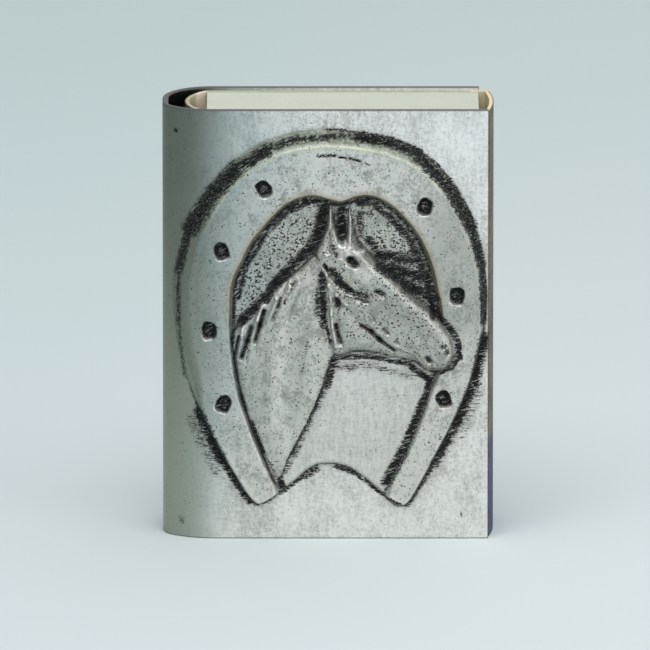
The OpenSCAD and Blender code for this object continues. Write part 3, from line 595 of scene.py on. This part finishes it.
def relief_piece(name, outline_distance, top_height, back_height, cell):
    """A closed piece of the relief. Cells of a square grid whose middles lie inside the
    outline are kept, and the points along their border are drawn onto the outline. The top
    follows top_height, the back back_height, and a wall joins them."""
    xs = np.arange(-19.5, 20, cell)
    zs = np.arange(3, 52, cell)
    x, z = np.meshgrid(xs, zs)
    centre_x, centre_z = x[:-1, :-1] + cell / 2, z[:-1, :-1] + cell / 2
    kept = outline_distance(centre_x, centre_z) > 0
    used = np.zeros(x.shape, int)
    for part in (used[:-1, :-1], used[1:, :-1], used[:-1, 1:], used[1:, 1:]):
        part += kept
    border = (used > 0) & (used < 4)
    step = cell / 4
    for _ in range(2):
        d = outline_distance(x, z)
        dx = (outline_distance(x + step, z) - outline_distance(x - step, z)) / (2 * step)
        dz = (outline_distance(x, z + step) - outline_distance(x, z - step)) / (2 * step)
        size = np.maximum(np.hypot(dx, dz), 0.3)
        move = np.where(border, np.clip(d, -cell, cell), 0) / size**2
        x, z = x - move * dx, z - move * dz
    number = np.full(x.shape, -1)
    number[used > 0] = np.arange(np.count_nonzero(used))
    j, i = np.nonzero(kept)
    quads = np.stack([number[j, i], number[j, i + 1], number[j + 1, i + 1], number[j + 1, i]], 1)
    px, pz = x[used > 0], z[used > 0]
    count = len(px)
    from_spine = MEDALLION_SPINE_EDGE + px - DRAWN_X
    base = FRONT_Y + front_depth(from_spine)
    rise = MEDALLION_FOOT_EDGE + (pz - DRAWN_Z) * SCALE_Z
    top = np.stack([SPINE_X + from_spine, base - top_height(px, pz), rise], 1)
    back = np.stack([SPINE_X + from_spine, base - back_height, rise], 1)
    edges = np.concatenate([quads[:, [k, (k + 1) % 4]] for k in range(4)])
    codes = edges[:, 0].astype(np.int64) * count + edges[:, 1]
    twins = edges[:, 1].astype(np.int64) * count + edges[:, 0]
    rim = edges[~np.isin(codes, twins)]
    walls = np.stack([rim[:, 1], rim[:, 0], rim[:, 0] + count, rim[:, 1] + count], 1)
    faces = np.concatenate([quads, quads[:, ::-1] + count, walls])
    values = drawing_attributes(np.tile(px, 2), np.tile(pz, 2))
    return add_mesh(name, np.concatenate([top, back]), faces, values)


def sheet_path(inset, count):
    """The sheet's line round the spine at an inset from its outside, as points from the front
    flap's edge to the back flap's, with the length along the line at each point."""
    def arc(centre, r, start, end, steps):
        angle = np.radians(np.linspace(start, end, steps))
        return np.stack([centre[0] + r * np.cos(angle), centre[1] + r * np.sin(angle)], 1)

    joint = 360 + math.degrees(BEND_JOINT)
    line = np.concatenate([
        [[FRONT_W, inset]],
        arc((BEND_FRONT_X, BEND_FRONT_R), BEND_FRONT_R - inset, 270, joint, 40),
        arc((BEND_SIDE_R, BEND_FRONT_D), BEND_SIDE_R - inset, joint, 180, 40)[1:],
        arc((BEND_BACK_R, COVER_D - BEND_BACK_R), BEND_BACK_R - inset, 180, 90, 60),
        [[FRONT_W - BACK_SHORT, COVER_D - inset]],
    ])
    length = np.concatenate([[0], np.cumsum(np.hypot(*np.diff(line, axis=0).T))])
    return line, length


def build_cover():
    """The bent sheet as one closed shell. Its middle surface is the sheet's line by the
    height; the outside and the lining stand off it by half the wall, and that falls to
    nothing along a superellipse at all four edges, which rounds them."""
    edge_r, power = 0.3, 2 / 3.2
    turn = np.linspace(0, np.pi / 2, 9)
    edge_in = edge_r * (1 - np.cos(turn) ** power)
    edge_rise = np.sin(turn) ** power

    def stations(total, cells):
        inner = np.linspace(edge_r, total - edge_r, cells)[1:-1]
        place = np.concatenate([edge_in, inner, total - edge_in[::-1]])
        rise = np.concatenate([edge_rise, np.ones(len(inner)), edge_rise[::-1]])
        return place, rise

    line, length = sheet_path(WALL / 2, 0)
    s, s_rise = stations(length[-1], 230)
    z, z_rise = stations(COVER_H, 150)
    px, py = np.interp(s, length, line[:, 0]), np.interp(s, length, line[:, 1])
    near = 0.02
    tx = np.interp(s + near, length, line[:, 0]) - np.interp(s - near, length, line[:, 0])
    ty = np.interp(s + near, length, line[:, 1]) - np.interp(s - near, length, line[:, 1])
    size = np.hypot(tx, ty)
    nx, ny = ty / size, -tx / size
    half = WALL / 2 * np.outer(z_rise, s_rise)
    shells = []
    for side in (1, -1):
        x = SPINE_X + px[None, :] + side * half * nx[None, :] * -1
        y = FRONT_Y + py[None, :] + side * half * ny[None, :] * -1
        shells.append(np.stack([x, y, np.broadcast_to(z[:, None], x.shape)], 2))
    rows, columns = half.shape
    number = np.arange(rows * columns).reshape(rows, columns)
    second = number + rows * columns
    second[0], second[-1], second[:, 0], second[:, -1] = (
        number[0], number[-1], number[:, 0], number[:, -1])

    def quads(n):
        return np.stack([n[:-1, :-1], n[:-1, 1:], n[1:, 1:], n[1:, :-1]], 2).reshape(-1, 4)

    faces = np.concatenate([quads(number), quads(second)[:, ::-1]])
    points = np.concatenate([shells[0].reshape(-1, 3), shells[1].reshape(-1, 3)])
    used = np.unique(faces)
    renumber = np.full(len(points), -1)
    renumber[used] = np.arange(len(used))
    points, faces = points[used], renumber[faces]
    edge_share = 1 - np.tile(np.outer(z_rise, s_rise).ravel(), 2)[used]
    x = points[:, 0] - SPINE_X - MEDALLION_SPINE_EDGE + DRAWN_X
    z = DRAWN_Z + (points[:, 2] - MEDALLION_FOOT_EDGE) / SCALE_Z
    front = (used < rows * columns) & (points[:, 1] < FRONT_Y + BEND_FRONT_D)
    values = drawing_attributes(x, z)
    for key in values:
        values[key] = np.where(front, values[key], 0)
    values["rim"] = edge_share
    values["lining"] = (used >= rows * columns).astype(float)
    return add_mesh("cover_sheet", points, faces, values)


# Materials

class Net:
    """A material's node tree, which makes nodes from a type, settings and inputs."""

    def __init__(self, name):
        self.material = bpy.data.materials.new(name)
        self.material.use_nodes = True
        self.tree = self.material.node_tree
        self.tree.nodes.clear()

    def node(self, kind, settings=None, out=0, **inputs):
        node = self.tree.nodes.new(kind)
        for key, value in (settings or {}).items():
            setattr(node, key, value)
        for key, value in inputs.items():
            socket = node.inputs[int(key[1:])] if key[0] == "i" and key[1:].isdigit() \
                else node.inputs[key.replace("_", " ")]
            self.feed(socket, value)
        return Value(self, node.outputs[out])

    def feed(self, socket, value):
        if isinstance(value, Value):
            self.tree.links.new(value.socket, socket)
        elif isinstance(value, (tuple, list)) and len(value) == 3 and len(socket.default_value) == 4:
            socket.default_value = (*value, 1)
        else:
            socket.default_value = value

    def place(self):
        return self.node("ShaderNodeTexCoord", out="Object")

    def attribute(self, name):
        return self.node("ShaderNodeAttribute", {"attribute_name": name}, out=2)

    def maths(self, operation, *values):
        inputs = {f"i{k}": v for k, v in enumerate(values)}
        return self.node("ShaderNodeMath", {"operation": operation}, **inputs)

    def scaled(self, vector, factors):
        return self.node("ShaderNodeVectorMath", {"operation": "MULTIPLY"}, i0=vector, i1=factors)

    def noise(self, vector, scale, detail=3.0, roughness=0.55, distortion=0.0):
        return self.node("ShaderNodeTexNoise", {}, Vector=vector, Scale=scale, Detail=detail,
                         Roughness=roughness, Distortion=distortion)

    def mix(self, factor, first, second):
        node = self.tree.nodes.new("ShaderNodeMix")
        node.data_type = "RGBA"
        self.feed(node.inputs["Factor"], factor)
        self.feed(node.inputs[6], first)
        self.feed(node.inputs[7], second)
        return Value(self, node.outputs[2])

    def finish(self, **inputs):
        shader = self.node("ShaderNodeBsdfPrincipled", {}, **inputs)
        node = self.tree.nodes.new("ShaderNodeOutputMaterial")
        self.feed(node.inputs["Surface"], shader)
        return self.material


class Value:
    """A socket that adds Math nodes when it is used in an expression."""

    def __init__(self, net, socket):
        self.net = net
        self.socket = socket

    def __add__(self, other):
        return self.net.maths("ADD", self, other)

    __radd__ = __add__

    def __sub__(self, other):
        return self.net.maths("SUBTRACT", self, other)

    def __rsub__(self, other):
        return self.net.maths("SUBTRACT", other, self)

    def __mul__(self, other):
        return self.net.maths("MULTIPLY", self, other)

    __rmul__ = __mul__

    def __truediv__(self, other):
        return self.net.maths("DIVIDE", self, other)

    def __rtruediv__(self, other):
        return self.net.maths("DIVIDE", other, self)

    def __pow__(self, other):
        return self.net.maths("POWER", self, other)

    def __neg__(self):
        return self.net.maths("MULTIPLY", self, -1.0)

    def between(self, low, high):
        """0 below low, 1 above high, and smooth between them."""
        return self.net.node("ShaderNodeMapRange", {"interpolation_type": "SMOOTHSTEP"},
                             Value=self, i1=low, i2=high)

    def clamped(self):
        return self.net.node("ShaderNodeClamp", {}, Value=self)

    def larger(self, other):
        return self.net.maths("MAXIMUM", self, other)

    def smaller(self, other):
        return self.net.maths("MINIMUM", self, other)


def pewter_material():
    """Aged pewter: pale satin metal, mottled, and coarser where the attribute says. Black patina
    lies in the hollows and where the stain attribute says, broken up by fine rub marks, and in
    scattered specks. Painted shade darkens the broad hollows, and painted light lifts the ridges.
    Painted shade turns the metal blue-grey and then dark towards the spine, most of all near the
    top; a painted reflection pales the flap's upper right, and the lining in the bend carries a
    painted shadow. The metal is duller in places, with painted shade and light in bands down the
    neck, and tinted along the horseshoe's edges, partly tarnish and partly painted shade, with
    painted highlights on its shoulder, the ridge crests and the nail holes' lips."""
    net = Net("pewter")
    place = net.place()
    stained, pitted, coarse = (net.attribute(key) for key in ("stain", "pitting", "coarse"))
    hollow, wide, green = (net.attribute(key) for key in ("hollow", "wide_hollow", "green"))
    x = net.node("ShaderNodeSeparateXYZ", out=0, Vector=place)
    z = net.node("ShaderNodeSeparateXYZ", out=2, Vector=place)
    grain = net.noise(place, 5200, 2)
    fine = net.noise(place, 2300, 3)
    medium = net.noise(place, 800, 4)
    # Painted highlights where the attribute says, broken up by fine noise
    worn = net.attribute("worn") * (fine.between(0.42, 0.56) * 0.65 + 0.35)
    streaks = net.noise(net.scaled(place, (1, 1, 0.25)), 2400, 3)
    broad = net.noise(place, 140, 4)
    turned = net.node("ShaderNodeVectorRotate", {"rotation_type": "Y_AXIS"}, Vector=place, Angle=0.7)
    tipped = net.node("ShaderNodeVectorRotate", {"rotation_type": "Y_AXIS"}, Vector=place, Angle=0.3)
    level = net.noise(net.scaled(place, (0.2, 1, 1.4)), 4200, 3, 0.6)
    slanted = net.noise(net.scaled(turned, (0.2, 1, 1.4)), 4200, 3, 0.6)
    upper_left = (z - x * 1.4).between(0.036, 0.046)
    rub = level + (slanted - level) * upper_left - 0.5
    wear = rub * 4.6 + (grain - 0.5) * 2.2 + (fine - 0.5) * 1.8
    patina = stained * 0.9 + wear * (stained.smaller(1.0) * 0.47 + 0.05)
    dark = patina.between(0.3, 0.64)
    cavity = (hollow * 2 + wide * 0.3 + (grain - 0.5) * 1.2).between(0.25, 0.8)
    dashes = net.noise(net.scaled(tipped, (0.8, 1, 1)), 4400, 1, 0.5)
    specks = (dashes + pitted * 0.16 + (medium - 0.5) * 0.25).between(0.753, 0.8)
    hair = net.noise(net.scaled(tipped, (0.1, 1, 1.6)), 4800, 2, 0.5)
    hairs = hair.between(0.6, 0.68) * (stained.between(0.3, 0.8)) * 0.6
    dark = dark.larger(cavity * 0.9) * (1 - hairs)
    dark = dark.larger(specks * 0.95).clamped() * (1 - worn * 0.85)
    salt = grain * 0.45 + fine * 0.55 - 0.5
    brushed = level * 0.4 + streaks * 0.6 - 0.5
    tone = salt * (0.5 + coarse * 3.2) + brushed * 1.15 + (medium - 0.5) * (coarse * coarse * 3)
    clouds = net.noise(place, 330, 1, 0.4) - 0.5
    # Painted shade and painted light: the tone falls in the broad hollows of the relief and rises on its
    # ridges
    tone = tone + clouds * (0.25 + coarse * 0.9) + (broad - 0.5) * 0.35 + 0.69 - wide * 0.35
    clean = net.mix(tone.between(0, 1), (0.27, 0.28, 0.25), (1, 1, 0.97))
    tint = net.mix(net.noise(place, 1100, 2).between(0.4, 0.6), (0.5, 0.6, 0.52), (0.86, 0.74, 0.74))
    clean = net.mix(coarse * 0.22, clean, tint)
    # Painted reflection: the flap pales towards its upper right
    clean = net.mix(x.between(0.002, 0.018) * z.between(0.034, 0.05) * 0.4, clean, (1, 1, 1))
    clean = net.mix((0.05 - z) * 12, clean, net.mix(0.5, clean, (0.8, 0.76, 0.66)))
    # Duller metal where the attribute says, which also carries the neck's painted shade and painted light
    clean = net.mix(net.attribute("dull") * 0.68, clean, (0.3, 0.32, 0.27))
    # Painted shade, for the darker reflection on the left: blue-grey towards the spine, over a band that
    # widens upwards
    shade = 1 - ((x + 0.019 - z * 0.045) / (z * 0.19 + 0.0085)).between(0, 1)
    clean = net.mix(shade * 0.75, clean, (0.28, 0.38, 0.39))
    # Painted shade on the bend round the spine: dark green-grey, darkest near the top
    spine = 1 - (x + 0.02 - z * 0.05).between(0.0, 0.0085)
    clean = net.mix(spine * 0.8, clean, net.mix(z.between(0, 0.05), (0.36, 0.37, 0.28), (0.105, 0.12, 0.08)))
    # Green-grey on the horseshoe's outer slope: partly tarnish, partly painted shade
    clean = net.mix(green * (0.85 + (fine - 0.5) * 2), clean, (0.2, 0.235, 0.17))
    # Tan on the horseshoe's inner edge: partly tarnish, partly painted shade
    clean = net.mix(net.attribute("tan") * (0.75 + (fine - 0.5) * 1.2), clean, (0.42, 0.36, 0.24))
    # Painted highlight along the horseshoe's upper shoulder
    clean = net.mix(net.attribute("shoulder"), clean, (0.6, 0.62, 0.42))
    # Painted highlight colour on the ridge crests, the forehead star and the nail holes' lips
    clean = net.mix(worn * 0.8, clean, (1, 0.93, 0.93))
    rim = net.attribute("rim").between(0.01, 0.2).larger(z.between(0.05278, 0.0529))
    clean = net.mix(rim * 0.9, clean, (0.1, 0.097, 0.092))
    # Painted shadow: the lining inside the bend, seen in the gap at the spine, goes near black
    bend_shadow = net.attribute("lining") * (1 - x.between(-0.0165, -0.0125)) * (1 - rim)
    clean = net.mix(bend_shadow * 0.9, clean, (0.004, 0.005, 0.007))
    hatch = (grain * 0.6 + rub * 1.3 + 0.2).between(0.46, 0.85) * (1.15 - stained * 0.6)
    soot = net.mix(hatch, (0.004, 0.0045, 0.005), (0.11, 0.12, 0.118))
    colour = net.mix(dark, clean, soot)
    height = grain * 0.25 + (fine * 1.1 + medium * 1.8) * coarse + rub * 0.2 * stained - dark * 0.5
    bump = net.node("ShaderNodeBump", {}, Strength=0.6, Distance=0.00012, Height=height)
    return net.finish(Base_Color=colour, Specular_IOR_Level=0.15,
                      Metallic=0.85 - dark.larger(rim) * 0.8 - worn.larger(green) * (1 - dark) * 0.6,
                      Roughness=0.42 + dark.larger(green) * 0.3 + (medium - 0.5) * 0.2, Normal=bump)


def card_material(name, light, deep, fibre=2500.0):
    """Uncoated card: fine fibres, soft mottling and a slight tooth."""
    net = Net(name)
    place = net.place()
    fibres = net.noise(net.scaled(place, (1, 1, 3)), fibre, 4)
    mottle = net.noise(place, 220, 3)
    colour = net.mix((fibres * 0.6 + mottle * 0.4).between(0.3, 0.7), deep, light)
    bump = net.node("ShaderNodeBump", {}, Strength=0.3, Distance=0.00004, Height=fibres)
    return net.finish(Base_Color=colour, Roughness=0.85, Normal=bump)


def sleeve_material():
    """Card of the matchbox's sleeve. Its cut edge and the card just inside show the raw card, painted
    lighter than it is to outweigh the shade inside the sleeve, and tinted in bands that paint the
    light on the bowed ends: olive at the left end, then pink, grey-green along the flat walls and
    yellow at the right."""
    net = Net("sleeve_card")
    place = net.place()
    x, y, z = (net.node("ShaderNodeSeparateXYZ", out=k, Vector=place) for k in range(3))
    fibres = net.noise(net.scaled(place, (1, 1, 3)), 2500, 4)
    mottle = net.noise(place, 900, 3)
    middle = (SLEEVE_LOW[1] + SLEEVE_HIGH[1]) / 2 * MM
    half = (SLEEVE_HIGH[1] - SLEEVE_LOW[1]) / 2 * MM
    card = CARD * MM
    across = net.maths("ABSOLUTE", y - middle)
    lining = 1 - across.between(half - card * 0.6, half - card * 0.4)
    for bow, edge, side in ((BOW_SPINE, SLEEVE_LOW[0], 1), (BOW_FORE, SLEEVE_HIGH[0], -1)):
        radius = (half**2 + (bow * MM) ** 2) / (2 * bow * MM)
        along = x - (edge * MM + side * radius)
        reach = net.maths("SQRT", along * along + across * across)
        lining = lining * (1 - reach.between(radius - card * 0.6, radius - card * 0.4))
    cut = z.between(SLEEVE_HIGH[2] * MM - 0.00012, SLEEVE_HIGH[2] * MM - 0.00008)
    # Painted light: the inner walls and cut edge near the top take the lighter colours below, to outweigh
    # the shade inside the sleeve
    worn = lining.larger(cut) * z.between(0.046, 0.049)
    end = net.mix(x.between(-0.0162, -0.0156), (0.5, 0.47, 0.3), (0.98, 0.8, 0.68))
    end = net.mix(x.between(-0.0149, -0.0146), end, (0.62, 0.65, 0.53))
    end = net.mix(x.between(0.0170, 0.0173), end, (0.98, 0.8, 0.68))
    end = net.mix(x.between(0.0180, 0.0186), end, (0.9, 0.72, 0.42))
    light = net.mix(worn, (0.72, 0.62, 0.43), end)
    shade = (fibres * 0.5 + mottle * 0.5).between(0.35, 0.65)
    colour = net.mix(shade, net.mix(0.2, light, (0.3, 0.24, 0.15)), light)
    bump = net.node("ShaderNodeBump", {}, Strength=0.3, Distance=0.00004, Height=fibres)
    return net.finish(Base_Color=colour, Roughness=0.85, Normal=bump)


def striker_material():
    """Striking surface: dark olive grit, darker and blue-violet low down."""
    net = Net("striking_surface")
    place = net.place()
    grit = net.noise(place, 5000, 2)
    patch = net.noise(place, 260, 3)
    z = net.node("ShaderNodeSeparateXYZ", out=2, Vector=place)
    light = net.mix(z.between(0.0112, 0.0128), (0.1, 0.1, 0.2), (0.22, 0.19, 0.13))
    colour = net.mix((grit * 0.7 + patch * 0.3).between(0.35, 0.62), (0.04, 0.036, 0.04), light)
    bump = net.node("ShaderNodeBump", {}, Strength=0.7, Distance=0.00008, Height=grit)
    return net.finish(Base_Color=colour, Roughness=0.8, Normal=bump)


def wood_material():
    """Split aspen: long pale grain along the stick."""
    net = Net("match_wood")
    place = net.place()
    grain = net.noise(net.scaled(place, (14, 14, 0.6)), 260, 4)
    colour = net.mix(grain.between(0.3, 0.7), (0.62, 0.44, 0.24), (0.84, 0.68, 0.44))
    bump = net.node("ShaderNodeBump", {}, Strength=0.4, Distance=0.00005, Height=grain)
    return net.finish(Base_Color=colour, Roughness=0.7, Normal=bump)


def match_head_material():
    """Dried match compound: brown-red, matt and slightly grainy."""
    net = Net("match_head_compound")
    place = net.place()
    grain = net.noise(place, 4200, 3)
    colour = net.mix(grain.between(0.35, 0.65), (0.2, 0.018, 0.014), (0.42, 0.05, 0.035))
    bump = net.node("ShaderNodeBump", {}, Strength=0.6, Distance=0.00008, Height=grain)
    return net.finish(Base_Color=colour, Roughness=0.6, Normal=bump)


def dress(piece, material):
    """Puts one material on a piece."""
    piece.data.materials.clear()
    piece.data.materials.append(material)


# Operators

class HolderSettings(bpy.types.PropertyGroup):
    """Sizes and colours of the matchbox holder's looks."""

    relief_cell: bpy.props.FloatProperty(
        name="Relief cell", description="Width of a cell of the relief's surface, in millimetres",
        default=0.125, min=0.08, max=0.5)
    floor_colour: bpy.props.FloatVectorProperty(
        name="Floor", description="Colour of the floor near the object", subtype="COLOR",
        size=3, min=0, max=1, default=(0.67, 0.73, 0.75))


class HOLDER_OT_cover(bpy.types.Operator):
    """Make the bent pewter sheet with rounded edges"""

    bl_idname = "holder.cover"
    bl_label = "Pewter Cover"

    def execute(self, context):
        piece = build_cover()
        dress(piece, bpy.data.materials["pewter"])
        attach(piece, "holder")
        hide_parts("cover")
        return {"FINISHED"}


class HOLDER_OT_medallion(bpy.types.Operator):
    """Make the casting: ground, horseshoe and horse"""

    bl_idname = "holder.medallion"
    bl_label = "Horse and Horseshoe"

    def execute(self, context):
        cell = context.scene.holder_settings.relief_cell
        pieces = (
            relief_piece("ground", to_foot, ground_height, -0.1, 2 * cell),
            relief_piece("horseshoe", lambda x, z: np.minimum(to_foot(x, z), -to_inside(x, z)),
                         lambda x, z: np.maximum(shoe_height(x, z), FOOT_H * 0.5), 0, cell),
            relief_piece("horse", horse_inside, horse_height, 0.2, cell * 0.8),
        )
        for piece in pieces:
            dress(piece, bpy.data.materials["pewter"])
            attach(piece, "holder")
            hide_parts("medallion")
        return {"FINISHED"}


class HOLDER_OT_matchbox(bpy.types.Operator):
    """Dress the matchbox: sleeve, striking surfaces and tray"""

    bl_idname = "holder.matchbox"
    bl_label = "Matchbox"

    def execute(self, context):
        nodes = frame["nodes"]
        dress(nodes["sleeve"], sleeve_material())
        dress(nodes["tray"], card_material("tray_card", (0.62, 0.65, 0.55), (0.56, 0.59, 0.49)))
        striker = striker_material()
        for name in ("striker_right", "striker_left"):
            dress(nodes[name], striker)
        return {"FINISHED"}


class HOLDER_OT_matches(bpy.types.Operator):
    """Dress the matches: sticks and heads"""

    bl_idname = "holder.matches"
    bl_label = "Matches"

    def execute(self, context):
        wood, compound = wood_material(), match_head_material()
        for name, node in frame["nodes"].items():
            if name.startswith("match_stick"):
                dress(node, wood)
            elif name.startswith("match_head"):
                dress(node, compound)
        return {"FINISHED"}


class HOLDER_OT_stage(bpy.types.Operator):
    """Make the pale floor, the lamps, the world and the camera"""

    bl_idname = "holder.stage"
    bl_label = "Floor, Lights and Camera"

    def execute(self, context):
        make_floor(context.scene.holder_settings.floor_colour)
        make_lights()
        make_camera()
        return {"FINISHED"}


def make_floor(colour):
    """A wide floor, a little darker and bluer far behind the object, most of all on the left."""
    reach = 3000.0
    points = [(-reach, -reach, 0), (reach, -reach, 0), (reach, reach, 0), (-reach, reach, 0)]
    floor = add_mesh("floor", points, [(0, 1, 2, 3)], smooth=False)
    net = Net("floor")
    place = net.place()
    across = net.node("ShaderNodeSeparateXYZ", out=0, Vector=place)
    depth = net.node("ShaderNodeSeparateXYZ", out=1, Vector=place)
    far = depth.between(-0.05, 0.28)
    shade = net.mix(far, tuple(colour), (0.6, 0.7, 0.7))
    shade = net.mix(across.between(-0.045, 0.045), shade, net.mix(0.25, shade, (0.8, 0.82, 0.82)))
    dress(floor, net.finish(Base_Color=shade, Roughness=0.9))


def make_lights():
    """A large soft lamp above and in front, a weaker one from the right, and a pale world
    that is darker on the left."""
    for name, energy, size, place in (
        ("top_lamp", 3.45, 0.6, (-0.1, -0.35, 0.75)),
        ("right_lamp", 0.8, 0.5, (0.6, -0.4, 0.35)),
    ):
        light = bpy.data.lights.new(name, "AREA")
        light.energy = energy
        light.size = size
        lamp = bpy.data.objects.new(name, light)
        lamp.location = place
        aim = Vector((0, 0, 0.025)) - Vector(place)
        lamp.rotation_euler = aim.to_track_quat("-Z", "Y").to_euler()
        bpy.context.scene.collection.objects.link(lamp)
    world = bpy.data.worlds.new("studio")
    bpy.context.scene.world = world
    world.use_nodes = True
    nodes, links = world.node_tree.nodes, world.node_tree.links
    background = nodes["Background"]
    where = nodes.new("ShaderNodeTexCoord")
    split = nodes.new("ShaderNodeSeparateXYZ")
    fade = nodes.new("ShaderNodeMapRange")
    links.new(where.outputs["Generated"], split.inputs[0])
    links.new(split.outputs[0], fade.inputs["Value"])
    fade.inputs["From Min"].default_value = -1.0
    fade.inputs["From Max"].default_value = 0.3
    fade.inputs["To Min"].default_value = 0.12
    fade.inputs["To Max"].default_value = 0.8
    links.new(fade.outputs[0], background.inputs["Strength"])
    background.inputs["Color"].default_value = (0.93, 0.98, 1.0, 1)


def make_camera():
    """A long lens from the front, a little above: the photograph's viewing angle."""
    distance = 2.5
    elevation = math.radians(13.6)
    pixels_per_mm = 8.3
    image = 650
    data = bpy.data.cameras.new("camera")
    data.sensor_width = 36
    data.lens = data.sensor_width * distance / (image / pixels_per_mm * MM)
    data.clip_end = 10
    aim = Vector((-0.00037, 0, 0.0252))
    camera = bpy.data.objects.new("camera", data)
    camera.location = aim + distance * Vector((0, -math.cos(elevation), math.sin(elevation)))
    camera.rotation_euler = (math.pi / 2 - elevation, 0, 0)
    bpy.context.scene.collection.objects.link(camera)
    bpy.context.scene.camera = camera


class HOLDER_PT_panel(bpy.types.Panel):
    """Lists the pieces of the matchbox holder"""

    bl_label = "Matchbox Holder"
    bl_idname = "HOLDER_PT_panel"
    bl_space_type = "VIEW_3D"
    bl_region_type = "UI"
    bl_category = "Matchbox Holder"

    def draw(self, context):
        for key in ("relief_cell", "floor_colour"):
            self.layout.prop(context.scene.holder_settings, key)
        for operator in OPERATORS:
            self.layout.operator(operator.bl_idname)


OPERATORS = (HOLDER_OT_cover, HOLDER_OT_medallion, HOLDER_OT_matchbox, HOLDER_OT_matches,
             HOLDER_OT_stage)
CLASSES = (HolderSettings, *OPERATORS, HOLDER_PT_panel)


def register():
    for cls in CLASSES:
        bpy.utils.register_class(cls)
    bpy.types.Scene.holder_settings = bpy.props.PointerProperty(type=HolderSettings)


def unregister():
    del bpy.types.Scene.holder_settings
    for cls in reversed(CLASSES):
        bpy.utils.unregister_class(cls)


def main():
    register()
    bpy.context.scene.view_settings.view_transform = "Standard"
    pewter_material()
    bpy.ops.holder.cover()
    bpy.ops.holder.medallion()
    bpy.ops.holder.matchbox()
    bpy.ops.holder.matches()
    bpy.ops.holder.stage()


if __name__ == "__main__":
    main()
